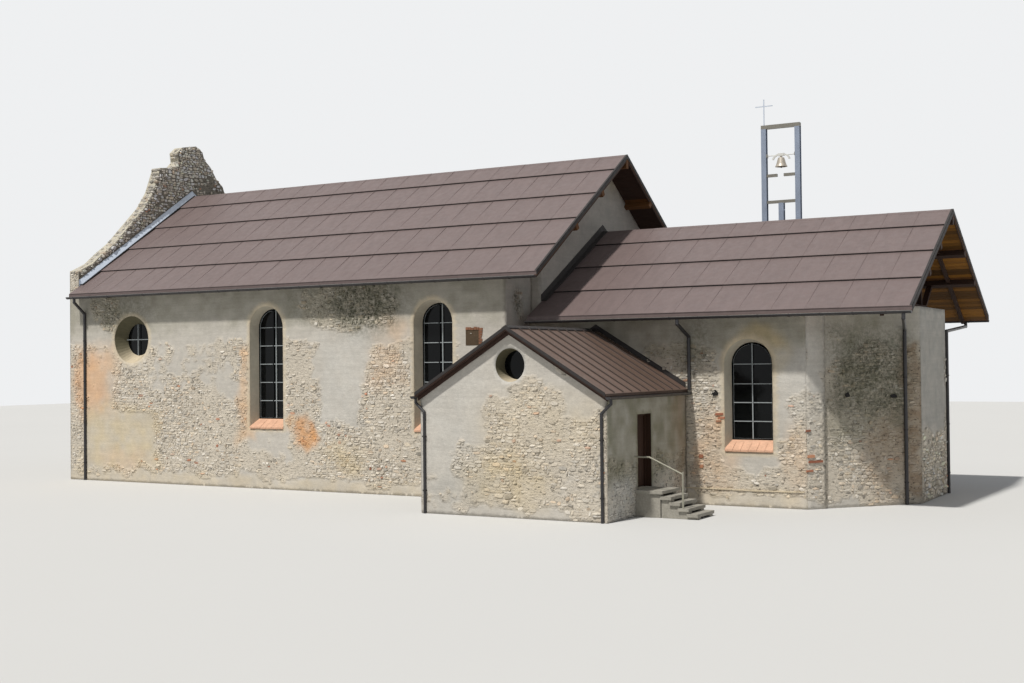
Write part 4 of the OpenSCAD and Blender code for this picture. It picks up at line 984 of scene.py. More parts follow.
def gable_walls():
    """The nave's east end: the block over the choir, its two cheeks and the walls beside it."""
    cheek_top = NAVE_ROOF.line(BLOCK_Y) - ROOF_BUILD
    foot = CHOIR_ROOF.line(BLOCK_Y)
    gable = [(0, foot), (BLOCK_Y, CHOIR_ROOF.ridge), (2 * BLOCK_Y, foot), (2 * BLOCK_Y, cheek_top),
             (BLOCK_Y, NAVE_ROOF.ridge - ROOF_BUILD), (0, cheek_top)]
    cheek = upright(GABLE_X - EAST, CHOIR_TOP, cheek_top)
    style = {"zones": GABLE_ZONES, "patches": GABLE_PATCHES}
    yield Face("gable_east", (GABLE_X, -BLOCK_Y), (GABLE_X, BLOCK_Y), gable, (), -BLOCK_Y, 1, (1, 1), seed=53,
               **style)
    yield Face("gable_south", (EAST, -BLOCK_Y), (GABLE_X, -BLOCK_Y), cheek, wraps=(0, 1), seed=57, **style)
    yield Face("gable_north", (GABLE_X, BLOCK_Y), (EAST, BLOCK_Y), cheek, wraps=(1, 0), seed=57, **style)
    wide = NAVE_Y - BLOCK_Y
    shoulder = CHOIR_Y - BLOCK_Y
    south = [(0, NAVE_END_Z), (wide - shoulder, NAVE_END_Z), (wide - shoulder, CHOIR_TOP), (wide, CHOIR_TOP),
             (wide, cheek_top), (0, NAVE_SKIN_TOP)]
    north = [(0, CHOIR_TOP), (shoulder, CHOIR_TOP), (shoulder, 0), (wide, 0), (wide, NAVE_SKIN_TOP),
             (0, cheek_top)]
    style = {"zones": END_ZONES, "patches": END_PATCHES, "base": 0.2, "seed": 61}
    yield Face("nave_end_south", (EAST, -NAVE_Y), (EAST, -BLOCK_Y), south, (), -NAVE_Y, 1, (1, 0), **style)
    yield Face("nave_end_north", (EAST, BLOCK_Y), (EAST, NAVE_Y), north, (), -BLOCK_Y, -1, (0, 1), **style)


def ruin_walls():
    """The west wall round its portal, and above the roof the ruin's two ends and its east face."""
    portal = arch_loop(NAVE_Y, PORTAL_W, 0.0, PORTAL_H)
    west = [(0, 0), portal[0]] + portal[:1:-1] + [portal[1], (2 * NAVE_Y, 0)]
    west += [(NAVE_Y - y, z) for y, z in RUIN_CREST][::-1]
    yield Face("ruin_west", (WEST, NAVE_Y), (WEST, -NAVE_Y), west, (), NAVE_Y, -1, (1, 1), RUIN_ZONES,
               RUIN_PATCHES, 0.1, seed=71)
    deep = NAVE_ROOF_X0 - WEST
    for word, seed, x0, x1, y, top in (("south", 77, WEST, NAVE_ROOF_X0, -NAVE_Y, RUIN_CREST[-1][1]),
                                       ("north", 79, NAVE_ROOF_X0, WEST, NAVE_Y, RUIN_CREST[0][1])):
        yield Face("ruin_end_" + word, (x0, y), (x1, y), upright(deep, NAVE_SKIN_TOP, top), wraps=(1, 1),
                   patches=RUIN_PATCHES, base=0.1, seed=seed)
    foot = NAVE_ROOF.line(NAVE_Y) + STRIP_H
    east = [(0, foot), (NAVE_Y, NAVE_ROOF.ridge + STRIP_H), (2 * NAVE_Y, foot)]
    east += [(y + NAVE_Y, z) for y, z in RUIN_CREST]
    yield Face("ruin_east", (NAVE_ROOF_X0, -NAVE_Y), (NAVE_ROOF_X0, NAVE_Y), east, s0=-NAVE_Y,
               patches=RUIN_PATCHES, base=0.0, ground=srgb(138, 132, 120), seed=73)


# The stones of the walls that differ from the rest; the chancel gable is all plaster
STONES = {
    # On the ruin's east face a pale of 2.0 brightens the stones as painted sunlight on a face in shade
    "ruin_east": {"tall": (0.07, 0.16), "wide": (0.09, 0.28), "proud": (0.02, 0.08), "bricks": 0.01,
                  "lime": 0.02, "pale": 2.0},
    "apse_east": {"tall": (0.07, 0.19), "wide": (0.1, 0.34), "proud": (0.03, 0.08), "bricks": 0.01,
                  "lime": 0.1, "pale": 1.35},
    "ruin_west": {"tall": (0.07, 0.17), "wide": (0.09, 0.34), "proud": (0.008, 0.032), "bricks": 0.015,
                  "lime": 0.2, "pale": 1.0},
}


def walls():
    for group in (nave_walls, choir_walls, apse_walls, annex_walls, gable_walls, ruin_walls):
        for face in group():
            skin(face)
            if not face.name.startswith("gable"):
                stones(face, **STONES.get(face.name, {}))


# Single stones, bricks and thin layers on the walls


def ball():
    """Points and faces of a small ball with flat faces."""
    bm = bmesh.new()
    bmesh.ops.create_icosphere(bm, subdivisions=1, radius=1.0)
    points = [Vector(v.co) for v in bm.verts]
    faces = [tuple(v.index for v in f.verts) for f in bm.faces]
    bm.free()
    return points, faces


def ruin_stones():
    """Loose-looking stones along the broken crest, so that its edge is not drawn with a ruler."""
    spots = []
    rows = (WEST + 0.1, WEST + 0.2, (WEST + NAVE_ROOF_X0) / 2, NAVE_ROOF_X0 - 0.16, NAVE_ROOF_X0 - 0.05)
    for (y0, z0), (y1, z1) in zip(RUIN_CREST, RUIN_CREST[1:]):
        n = max(1, int(math.hypot(y1 - y0, z1 - z0) / 0.1))
        for k in range(n):
            t = (k + rng.uniform(0.1, 0.9)) / n
            for x in rows:
                size = rng.uniform(0.04, 0.1)
                tint = STONE_TINTS[rng.integers(len(STONE_TINTS))] * rng.uniform(0.7, 1.05)
                centre = (x + rng.uniform(-0.04, 0.04), y0 + (y1 - y0) * t, z0 + (z1 - z0) * t - 0.06)
                spots.append((centre, (size * 1.2, size * 1.2, size * 0.8), tint * 0.75 + GREY * 0.25))
    points, faces = ball()
    batch = Batch()
    for centre, size, tint in spots:
        turn = Matrix.Rotation(rng.uniform(0, math.pi), 3, Vector(rng.normal(size=3)))
        rough = [turn @ (p * float(rng.uniform(0.82, 1.1))) for p in points]
        batch.add([[c + v * s for c, v, s in zip(centre, q, size)] for q in rough], faces, tint)
    add_mesh("ruin_crest_stones", batch.points, batch.faces, "aged_wall", "rubble_stone", tint=batch.tints,
             cover=np.full(len(batch.points), 0.3))


def ruin_strip():
    """A sheet strip that slopes from the ruin onto the roof, bright with painted sky reflection, with a dark
    line of painted shade under its edge.
    """
    bright, dark = Batch(), Batch()
    x0, x1 = NAVE_ROOF_X0 + 0.032, NAVE_ROOF_X0 + 0.15
    sheet = ((x0, 0.225), (x1, 0.06), (x1, 0.05), (x0, 0.05))
    # joint is the outline of the dark line of painted shade under the strip's lower edge
    joint = ((x1 - 0.03, 0.002), (x1 + 0.03, 0.002), (x1 + 0.03, 0.03), (x1 - 0.03, 0.05))
    for side in (-1, 1):
        ends = [(side * r, NAVE_ROOF.line(r)) for r in (0.0, NAVE_Y - 0.05)]
        for batch, section in ((bright, sheet), (dark, joint)):
            batch.prism(*[[(x, y, z + up) for x, up in section] for y, z in ends])
    bright.make("ruin_strip", "zinc", "zinc")
    dark.make("ruin_strip_shade_line", "shadow_gap", "roof_sheet")


def on_slant(u):
    """Place and direction on the northeast slanted wall, this far from the choir's corner."""
    return (APSE_X + math.sin(TURN) * u, CHOIR_Y - math.cos(TURN) * u), (math.sin(TURN), -math.cos(TURN))


def on_wall(batch, side, spot, ring, proud, tint=None):
    """A flat solid on a wall: ring is its outline along the wall and up."""
    (x, y), (ax, ay) = spot
    batch.prism(*[[(x + ax * r - ay * lift, side * (y + ay * r + ax * lift), z) for r, z in ring]
                  for lift in (0.0, proud)], tint)


def putlog_holes():
    """Small dark plates of painted shade that stand for holes in the rubble of the choir and the apse, the
    same on both sides.
    """
    batch = Batch()
    for side in (-1, 1):
        for spot, z, half_w, half_h in ((((15.0, CHOIR_Y), (1.0, 0.0)), 3.12, 0.11, 0.1),
                                        (on_slant(1.34), 3.05, 0.08, 0.08), (on_slant(2.8), 3.0, 0.12, 0.06)):
            ring = []
            for k, a in enumerate(around(9)):
                uneven = 0.85 + 0.25 * math.sin(3.1 * k + 2.8)
                ring.append((half_w * uneven * math.cos(a), z + half_h * uneven * math.sin(a)))
            on_wall(batch, side, spot, ring, 0.036)
    batch.make("putlog_holes", "shadow_gap", "rubble_stone")


def single_bricks():
    """A few red bricks that stand out in the rubble of the choir and beside the apse's corner."""
    batch = Batch()
    proud = 0.034
    choir = ((14.5, 1.3, 0.13, 0.1), (14.52, 1.02, 0.11, 0.1), (15.0, 2.5, 0.24, 0.07),
             (15.08, 2.4, 0.2, 0.06), (15.02, 2.31, 0.16, 0.06))
    strip = ((0.08, 1.24, 0.44, 0.07), (0.02, 1.0, 0.2, 0.06), (0.05, 1.38, 0.22, 0.08),
             (0.02, 2.08, 0.14, 0.06))
    for side in (-1, 1):
        bricks = [(((x, CHOIR_Y), (1.0, 0.0)), proud, z, wide, tall) for x, z, wide, tall in choir
                  if side < 0 or x > 15.0]
        bricks += [(on_slant(u), proud + STRIP_PROUD, z, wide, tall) for u, z, wide, tall in strip]
        for k, (spot, rise, z, wide, tall) in enumerate(bricks):
            ring = [(0.0, z), (wide, z + 0.01), (wide, z + tall), (0.01, z + tall - 0.008)]
            tint = BRICK_TINTS[k % len(BRICK_TINTS)] * (0.62 + 0.08 * (k % 4))
            on_wall(batch, side, spot, ring, rise, tint)
    batch.make("single_bricks", "aged_wall", "rubble_stone", tinted=True)


def round_linings():
    """Plaster inside the splayed round openings: dark with painted shade, pale along the foot with painted
    sunlight.
    """
    batch = Batch()
    sides, thick, deep = 40, 0.005, 0.37
    nave = (OCULUS_X, OCULUS_Z, OCULUS_R, OCULUS_SPLAY, NAVE_Y)
    annex = (SAC_OCULUS_X, SAC_OCULUS_Z, SAC_OCULUS_R, SAC_OCULUS_SPLAY, SAC_Y)
    for side, (x, z, radius, splay, wall_y) in ((-1, nave), (1, nave), (-1, annex)):
        section = ((radius + splay, 0.0), (radius + splay - thick, 0.0),
                   (radius - thick, deep), (radius, deep))
        rings = [[(x + r * math.cos(a), side * (wall_y - d), z + r * math.sin(a)) for r, d in section]
                 for a in around(sides)]
        for k in range(sides):
            # pale is the share of painted sunlight along the foot; elsewhere the lining keeps its painted
            # shade
            pale = max(0.0, -math.sin(2 * math.pi * (k + 0.5) / sides)) ** 3
            batch.prism(rings[k], rings[(k + 1) % sides], REVEAL_PAINTED_SHADE * (1 - pale) + CREAM * pale)
    batch.make("round_linings", "aged_wall", "lime_plaster", tinted=True)


def plinth_ledge():
    """A thin worn ledge low on the choir's long walls."""
    batch = Batch()
    proud, foot, tall = 0.038, 0.44, 0.03
    for side, x in ((-1, SAC_X1 + 0.02), (1, EAST + 0.02)):
        y0, y1 = sorted((side * CHOIR_Y, side * (CHOIR_Y + proud)))
        while x < APSE_X - 0.1:
            end = min(x + rng.uniform(0.3, 0.9), APSE_X)
            z = foot + rng.uniform(-0.008, 0.008)
            batch.block((x, y0, z), (end, y1, z + tall), CREAM * rng.uniform(0.9, 1.05))
            x = end + 0.004
    batch.make("plinth_ledge", "aged_wall", "lime_plaster", tinted=True)


def wall_niche():
    """A shallow blocked opening near the east end of the nave, edged with brick, on both long sides; its back
    is a dark panel of painted shade in front of the wall.
    """
    x0, x1, z0, z1 = NICHE
    back, edge = Batch(), Batch()
    beside, above = 7, 5
    for side in (-1, 1):
        y0, y1 = sorted((side * (NAVE_Y - 0.01), side * (NAVE_Y + 0.02)))
        back.block((x0, y0, z0), (x1, y1, z1))
        y0, y1 = sorted((side * (NAVE_Y - 0.01), side * (NAVE_Y + 0.034)))
        step = (z1 - z0 + 0.1) / beside
        for k in range(beside):
            z = z0 - 0.05 + k * step
            edge.block((x1 - 0.02, y0, z + 0.006), (x1 + rng.uniform(0.07, 0.13), y1, z + step - 0.008))
        step = (x1 - x0) / above
        for k in range(above):
            x = x0 + k * step
            edge.block((x + 0.006, y0, z1 - 0.01), (x + step - 0.006, y1, z1 + rng.uniform(0.05, 0.08)))
    back.make("niche_backs", "niche_shade", "rubble_stone")
    edge.make("niche_bricks", "niche_brick", "rubble_stone")


# Roofs


def folded_plate(batch, roof, side, t0, t1, start, end, tint):
    """One sheet: thin, just over the CAD surface, with a nose folded down at its lower edge."""
    (r0, z0), (r1, z1) = start, end
    top, bottom, nose, over, fold = 0.007, 0.003, -0.004, 0.016, 0.011
    profile = [(r0, z0 + top), (r1 + over, z1 + top), (r1 + over, z1 + nose), (r1 + fold, z1 + nose),
               (r1 + fold, z1 + bottom), (r0, z0 + bottom)]
    roof.extrude(batch, side, profile, t0, t1, tint)


def seam(batch, roof, side, t, start, end, height, width, tint):
    """A raised joint between two sheets, a little narrower at its top."""
    section = ((-width / 2, 0.0), (width / 2, 0.0), (width / 2 * 0.7, height), (-width / 2 * 0.7, height))
    batch.prism(*[[roof.place(side, t + a, r, z + b) for a, b in section] for r, z in (start, end)], tint)


def tiered_sheets(name, roof, side, x0, x1, bay):
    """The sheets of one slope, tier by tier, each bay a little different in tone."""
    batch = Batch()
    bays = max(1, round((x1 - x0) / bay))
    pitch = (x1 - x0) / bays
    gap, seam_high, seam_wide = 0.003, 0.008, 0.012
    brown = srgb(*ROOF_BROWN)
    for r0, z0, r1, z1 in roof.tiers():
        for k in range(bays):
            tint = brown * rng.uniform(0.985, 1.015)
            tip = rng.uniform(-0.0015, 0.0015)
            a, b = x0 + k * pitch, x0 + (k + 1) * pitch
            folded_plate(batch, roof, side, a + gap, b - gap, (r0 + 0.004, z0 + tip), (r1, z1 - tip), tint)
            if k:
                seam(batch, roof, side, a, (r0 + 0.02, z0 + 0.004), (r1 + 0.012, z1 + 0.004), seam_high,
                     seam_wide, brown * 0.93)
    batch.make(name, "roof_sheet", "roof_sheet", tinted=True)


def under_tier_strips(name, roof, side, x0, x1):
    """Dark strips of painted shade that close the step under each tier."""
    batch = Batch()
    gap = 0.004
    for _, _, r, z in roof.tiers()[:-1]:
        ring = [(r - gap, z - TIER_STEP), (r + gap, z - TIER_STEP), (r + gap, z - gap), (r - gap, z - gap)]
        roof.extrude(batch, side, ring, x0 + gap, x1 - gap)
    batch.make(name, "shadow_gap", "roof_sheet")


def ridge_cap(name, roof, x0, x1):
    """Folded ridge pieces that lap over each other."""
    batch = Batch()
    reach, edge, thick = 0.13, 0.02, 0.004
    foot = -roof.slope * reach
    ring = [(-reach, foot), (0, 0), (reach, foot), (reach, foot - edge), (reach - thick, foot - edge),
            (0, -0.006), (-reach + thick, foot - edge), (-reach, foot - edge)]
    count = max(1, round((x1 - x0) / 1.9))
    pitch = (x1 - x0) / count
    for k in range(count):
        z = roof.ridge + 0.012 + 0.003 * (k % 2)
        start = x0 + k * pitch - (0.02 if k else 0)
        batch.along_x([(y, z + up) for y, up in ring], start, x0 + (k + 1) * pitch,
                      srgb(*ROOF_BROWN) * (0.93 + 0.05 * (k % 2)))
    batch.make(name, "roof_sheet", "roof_sheet", tinted=True)


def both_slopes(name, roof, look, slot, *strips):
    """A piece on both slopes from strips, each a band of the roof and where it starts and ends."""
    batch = Batch()
    for side in (-1, 1):
        for band, t0, t1 in strips:
            roof.extrude(batch, side, band, t0, t1)
    batch.make(name, look, slot)


def verge_cover(name, roof, x):
    """The dark metal edge that closes the sheets along a verge; its near-black face is partly painted shade
    under the verge.
    """
    rise, drop, over = 0.02, 0.12, 0.01
    both_slopes(name, roof, "dark_metal", "roof_sheet",
                (roof.band(0, roof.half, rise, rise - 0.012, over), x - 0.06, x + 0.012),
                (roof.band(0, roof.half, rise, -drop, over), x + 0.002, x + 0.012))


def verge_boards(name, roof, x, bottom):
    """Barge boards under the edge of a gabled roof, one on each slope."""
    both_slopes(name, roof, "verge_timber", "roof_timber", (roof.band(0, roof.half - 0.02, -0.13, bottom),
                                                            x - 0.04, x - 0.01))


def soffit_planks(name, roof, x0, x1, look, beams):
    """Planks on the underside of the roof boards, running along the building between the beams."""
    batch = Batch()
    wide, gap, first = 0.135, 0.004, 0.03
    for side in (-1, 1):
        r = first
        while r + wide < roof.half:
            r0, r1 = r + gap, r + wide - gap
            thick = 0.012 + 0.003 * rng.random()
            if not any(a < r1 and r0 < b for a, b in beams):
                tone = rng.uniform(0.35, 1.5)
                plank = roof.band(r0, r1, -ROOF_BUILD, -ROOF_BUILD - thick)
                roof.extrude(batch, side, plank, x0, x1, (tone, tone, tone))
            r += wide
    batch.make(name, look, "roof_timber", tinted=True)


def eave_planks(name, roof, x0, x1, wall_y):
    """Planks under the eaves on both long sides."""
    wide, narrowest, thick, gap = 0.14, 0.05, 0.014, 0.006
    strips = []
    r = wall_y + 0.01
    while r + narrowest < roof.half:
        end = min(r + wide, roof.half) - gap
        strips.append((roof.band(r, end, -ROOF_BUILD, -ROOF_BUILD - thick), x0, x1))
        r += wide
    both_slopes(name, roof, "verge_timber", "roof_timber", *strips)


def roofs():
    for side, word in ((-1, "south"), (1, "north")):
        for name, roof, x0, gap, x1, bay in (("nave", NAVE_ROOF, NAVE_ROOF_X0, 0.04, NAVE_ROOF_X1, 0.95),
                                             ("choir", CHOIR_ROOF, GABLE_X, 0.03, CHOIR_ROOF_X1, 0.93)):
            tiered_sheets(name + "_sheets_" + word, roof, side, x0 + gap, x1, bay)
            under_tier_strips(name + "_laps_" + word, roof, side, x0, x1)
    ridge_cap("nave_ridge_cap", NAVE_ROOF, NAVE_ROOF_X0 + 0.04, NAVE_ROOF_X1)
    ridge_cap("choir_ridge_cap", CHOIR_ROOF, GABLE_X + 0.03, CHOIR_ROOF_X1)
    verge_cover("nave_verge_cover", NAVE_ROOF, NAVE_ROOF_X1)
    verge_cover("choir_verge_cover", CHOIR_ROOF, CHOIR_ROOF_X1)
    verge_boards("nave_barge_boards", NAVE_ROOF, NAVE_ROOF_X1, -0.2)
    verge_boards("choir_barge_boards", CHOIR_ROOF, CHOIR_ROOF_X1, -0.19)
    soffit_planks("nave_verge_soffit", NAVE_ROOF, GABLE_X + 0.01, NAVE_ROOF_X1 - 0.05, "verge_timber",
                  ((-1, 0.13), (1.75, 1.95), (3.55, 3.75)))
    soffit_planks("choir_verge_soffit", CHOIR_ROOF, APSE_X + 0.02, CHOIR_ROOF_X1 - 0.05, "soffit_board",
                  ((-1, 0.13), (1.55, 1.75), (2.95, 3.15)))
    eave_planks("nave_eave_soffit", NAVE_ROOF, WEST + 0.45, GABLE_X, NAVE_Y)
    eave_planks("choir_eave_soffit", CHOIR_ROOF, GABLE_X + 0.01, APSE_X, CHOIR_Y)
    top = -ROOF_BUILD - 0.002
    rafter = CHOIR_ROOF.band(0.03, CHOIR_ROOF.half - 0.06, top, top - 0.13)
    both_slopes("east_rafters", CHOIR_ROOF, "verge_timber", "roof_timber",
                (rafter, APSE_END - 0.2, APSE_END - 0.1))
    choir_upstand()
    annex_sheets()
    annex_edges()


def choir_upstand():
    """Dark flashing where the choir roof meets the nave's gable: an upright strip and a flat one, the flat
    strip and the dark colour partly painted shadow of the gable.
    """
    x0 = GABLE_X + 0.012
    top, end = CHOIR_ROOF.ridge, BLOCK_Y + 0.02
    end_z = CHOIR_ROOF.line(end)
    tall = [(0, top + 0.01), (end, end_z + 0.01), (end, end_z + 0.2), (0, top + 0.24)]
    both_slopes("choir_upstand", CHOIR_ROOF, "dark_metal", "roof_sheet", (tall, x0, GABLE_X + 0.034),
                (CHOIR_ROOF.band(0, end, 0.012, 0.026), x0, GABLE_X + 0.2))


def annex_sheets():
    """Sheets and standing seams of the annex roof, the seams darkened as painted shade; its west slope ends
    at the nave's wall.
    """
    roof = ANNEX_ROOF
    batch = Batch()
    y0, y1 = low("sacristy_roof_east").y, high("sacristy_roof_east").y
    brown = srgb(*SAC_BROWN)
    bays, gap, seam_size = 10, 0.003, 0.045
    pitch = (y1 - y0) / bays
    for side in (-1, 1):
        for k in range(bays):
            a, b = y0 + k * pitch, y0 + (k + 1) * pitch
            far = roof.half
            if side < 0 and b > -NAVE_Y + 0.02:
                far = SAC_X - EAST - 0.03
                if a < -NAVE_Y:
                    folded_plate(batch, roof, side, a + gap, -NAVE_Y - 0.02, (far, roof.line(far)),
                                 (roof.half, roof.eave), brown)
            folded_plate(batch, roof, side, a + gap, b - gap, (0.0, roof.ridge), (far, roof.line(far)),
                         brown * rng.uniform(0.93, 1.08))
            if k:
                # The seams are drawn at about a third of the sheet's brightness: painted shade beside them
                seam(batch, roof, side, a, (0.04, roof.line(0.04) + 0.004), (far, roof.line(far) + 0.006),
                     seam_size, seam_size, brown * 0.32)
    batch.make("annex_sheets", "sacristy_sheet", "sacristy_sheet", tinted=True)


def annex_edges():
    """Ridge, verge and upstand of the annex roof."""
    roof = ANNEX_ROOF
    y0, y1 = low("sacristy_roof_east").y, high("sacristy_roof_east").y
    cap = Batch()
    reach, edge, top = 0.11, 0.025, roof.ridge + 0.045
    foot = top - roof.slope * reach
    roof.extrude(cap, 1, [(-reach, foot), (0, top), (reach, foot), (reach, foot - edge), (0, top - 0.02),
                          (-reach, foot - edge)], y0 - 0.005, y1)
    cap.make("annex_ridge_cap", "dark_metal", "sacristy_sheet")
    both_slopes("annex_verge_cover", roof, "dark_metal", "sacristy_sheet",
                (roof.band(0, roof.half, 0.03, -0.062), y0 - 0.012, y0 + 0.012))
    both_slopes("annex_verge_board", roof, "verge_timber", "roof_timber",
                (roof.band(0, roof.half, -0.1, -0.2), -SAC_Y - 0.06, -SAC_Y - 0.03))
    upstand = Batch()
    for side, far in ((-1, SAC_X - EAST - 0.02), (1, roof.half - 0.05)):
        roof.extrude(upstand, side, roof.band(0, far, 0.02, 0.17), y1 - 0.03, y1 - 0.02)
    upstand.make("annex_upstand", "dark_metal", "sacristy_sheet")


# Gutters and pipes


def gutter_fittings():
    """Brackets and a round front edge on the long gutters, the edge's light colour a painted highlight, and
    bands round the upright pipes.
    """
    straps, beads, bands = Batch(), Batch(), Batch()
    strap_step, band_step, gutter_half, bead_r = 0.85, 1.45, 0.075, 0.009
    for name in ("nave_gutters", "choir_gutters"):
        lo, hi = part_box(name)
        for side in (-1, 1):
            for x in np.arange(lo.x + 0.35, hi.x - 0.1, strap_step):
                strap(straps, x, side * (hi.y - gutter_half), hi.z)
            beads.rod(lo.x + 0.005, hi.x - 0.005, side * (hi.y - 0.008), hi.z - 0.004, bead_r)
    for name in ("nave_downpipe", "choir_downpipes", "sacristy_downpipes"):
        for x, y, top in pipe_places(name):
            for z in np.arange(0.6, top - 0.4, band_step):
                bands.ring((x, y, z), 0.05, 0.03, 0.012)
    straps.make("gutter_brackets", "gutter_metal", "gutter_metal")
    beads.make("gutter_bead_highlights", "gutter_bead_highlight", "gutter_metal")
    bands.make("pipe_bands", "dark_metal", "gutter_metal")


def strap(batch, x, y, z):
    """A bracket strap that passes under a half-round gutter."""
    radius, thick, wide, sides = 0.079, 0.004, 0.028, 8
    angles = [math.pi + math.pi * k / sides for k in range(sides + 1)]
    ring = [(y + (radius + thick) * math.cos(a), z + (radius + thick) * math.sin(a)) for a in angles]
    ring += [(y + radius * math.cos(a), z + radius * math.sin(a)) for a in reversed(angles)]
    batch.along_x(ring, x - wide / 2, x + wide / 2)


def pipe_places(name):
    """Foot of each upright pipe of a node, from the pipe's lowest ring of points, and the node's top."""
    points = np.array([v.co for v in nodes[name].data.vertices])
    groups = []
    for p in points[points[:, 2] < points[:, 2].min() + 0.02]:
        for g in groups:
            if math.hypot(p[0] - g[0][0], p[1] - g[0][1]) < 0.3:
                g.append(p)
                break
        else:
            groups.append([p])
    return [(*np.mean([(q[0], q[1]) for q in g], axis=0), points[:, 2].max()) for g in groups]


# Windows


def arch_strip(batch, x, width, z0, z1, y0, y1, inner, sides=24):
    """A frame that follows an arched opening: inner is how wide its face is."""
    outer_loop = arch_loop(x, width, z0, z1, sides)
    inner_loop = arch_loop(x, width - 2 * inner, z0 + inner, z1 - inner, sides)
    n = len(outer_loop)
    points = [(p, y, q) for y in (y0, y1) for p, q in outer_loop + inner_loop]
    faces = []
    for k in range(n):
        j = (k + 1) % n
        faces.extend([(k, j, n + j, n + k), (2 * n + k, 3 * n + k, 3 * n + j, 2 * n + j),
                      (k, 2 * n + k, 2 * n + j, j), (n + k, n + j, 3 * n + j, 3 * n + k)])
    batch.add(points, faces)


def window_bars(batch, side, x, width, glass_lo, glass_hi, wall_y, levels, mullion_shift=0.0):
    """A frame, one upright bar and cross bars, just in front of the glass."""
    z0, z1 = glass_lo.z, glass_hi.z
    bar, gap, inset = 0.03, 0.002, 0.02
    frame_wide, frame_deep, set_back = 0.045, 0.035, 0.34
    front = wall_y - set_back
    y0, y1 = sorted((side * front, side * (front - frame_deep)))
    arch_strip(batch, x, width - 2 * gap, z0 + gap, z1 - gap, y0, y1, frame_wide)
    mx = x + mullion_shift
    batch.block((mx - bar / 2, y0 - gap, z0 + bar), (mx + bar / 2, y1 + gap, z1 - inset))
    half = width / 2 - inset
    spring = z1 - width / 2
    for z in levels:
        reach = half if z < spring else math.sqrt(max(half ** 2 - (z - spring) ** 2, 0.01))
        batch.block((x - reach, y0, z - bar * 0.4), (x + reach, y1, z + bar * 0.4))


def windows():
    step = (NAVE_GLASS_HI.z - NAVE_GLASS_LO.z) / 6
    for side, word in ((-1, "south"), (1, "north")):
        nave, choir, cross = Batch(), Batch(), Batch()
        for x in NAVE_WINDOW_XS:
            window_bars(nave, side, x, NAVE_WINDOW_W, NAVE_GLASS_LO, NAVE_GLASS_HI, NAVE_Y,
                        [NAVE_GLASS_LO.z + step * k for k in range(1, 6)], 0.12)
        window_bars(choir, side, CHOIR_WINDOW_X, CHOIR_WINDOW_W, CHOIR_GLASS_LO, CHOIR_GLASS_HI, CHOIR_Y,
                    (2.33, 2.85, 3.37, 3.92))
        y0, y1 = sorted((side * (NAVE_Y - 0.3), side * (NAVE_Y - 0.33)))
        reach, half = OCULUS_R - 0.02, 0.012
        for dx, dz in ((half, reach), (reach, half)):
            cross.block((OCULUS_X - dx, y0, OCULUS_Z - dz), (OCULUS_X + dx, y1, OCULUS_Z + dz))
        for batch, name in ((nave, "nave_window_bars_"), (choir, "choir_window_bars_"),
                            (cross, "oculus_cross_")):
            batch.make(name + word, "window_bar", "window_glass")


def sill_tiles():
    """Clay tiles laid side by side on each sill, over the CAD sill."""
    batch = Batch()
    count, joint, overhang, reach, thick, drop_limit = 6, 0.004, 0.055, 0.3, 0.05, 0.004
    choir_lo, choir_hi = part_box("choir_window_sills")
    for name, centres, wall_y, width in (
            ("nave_window_sills", NAVE_WINDOW_XS, NAVE_Y, NAVE_WINDOW_W + 2 * SPLAY),
            ("choir_window_sills", (CHOIR_WINDOW_X,), CHOIR_Y, choir_hi.x - choir_lo.x)):
        pitch = width / count
        y_out, y_in = wall_y + overhang, wall_y - reach
        for side, x in [(side, x) for side in (-1, 1) for x in centres]:
            for k in range(count):
                start = x - width / 2 + k * pitch + joint
                drop = rng.uniform(-drop_limit, drop_limit)
                z_out, z_in = low(name).z + thick + drop, high(name).z - 0.03 + drop
                ring = [(y_out, z_out - thick), (y_out, z_out), (y_in, z_in), (y_in, z_in - 0.03)]
                batch.along_x([(side * y, z) for y, z in ring], start, start + pitch - 2 * joint)
    batch.make("sill_tiles", "sill_tile", "sill_tile")


# Door


def door_planks():
    """Upright planks with worn edges on the door's outer face."""
    lo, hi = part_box("sacristy_door")
    batch = Batch()
    count, side_gap, joint, edge = 5, 0.015, 0.003, 0.006
    wide = (hi.y - lo.y - 2 * side_gap) / count
    for k in range(count):
        a = lo.y + side_gap + wide * k + joint
        b = lo.y + side_gap + wide * (k + 1) - joint
        x = hi.x + 0.012 + 0.002 * rng.random()
        ring = [(hi.x - 0.01, a), (x - 0.004, a), (x, a + edge), (x, b - edge), (x - 0.004, b),
                (hi.x - 0.01, b)]
        batch.prism(*[[(p, q, z) for p, q in ring] for z in (lo.z + 0.02, hi.z - 0.02)])
    batch.make("door_planks", "door_wood", "door_wood", "sacristy_door")


def door_lining():
    """Thin boards on both sides of the door's reveal and over it."""
    batch = Batch()
    thin = 0.008
    for y0, y1, z0 in ((DOOR_LO.y, DOOR_LO.y + thin, DOOR_LO.z), (DOOR_HI.y - thin, DOOR_HI.y, DOOR_LO.z),
                       (DOOR_LO.y, DOOR_HI.y, DOOR_HI.z - thin)):
        batch.block((DOOR_HI.x, y0, z0), (SAC_X1 + 0.012, y1, DOOR_HI.z))
    batch.make("door_lining", "door_wood", "door_wood")


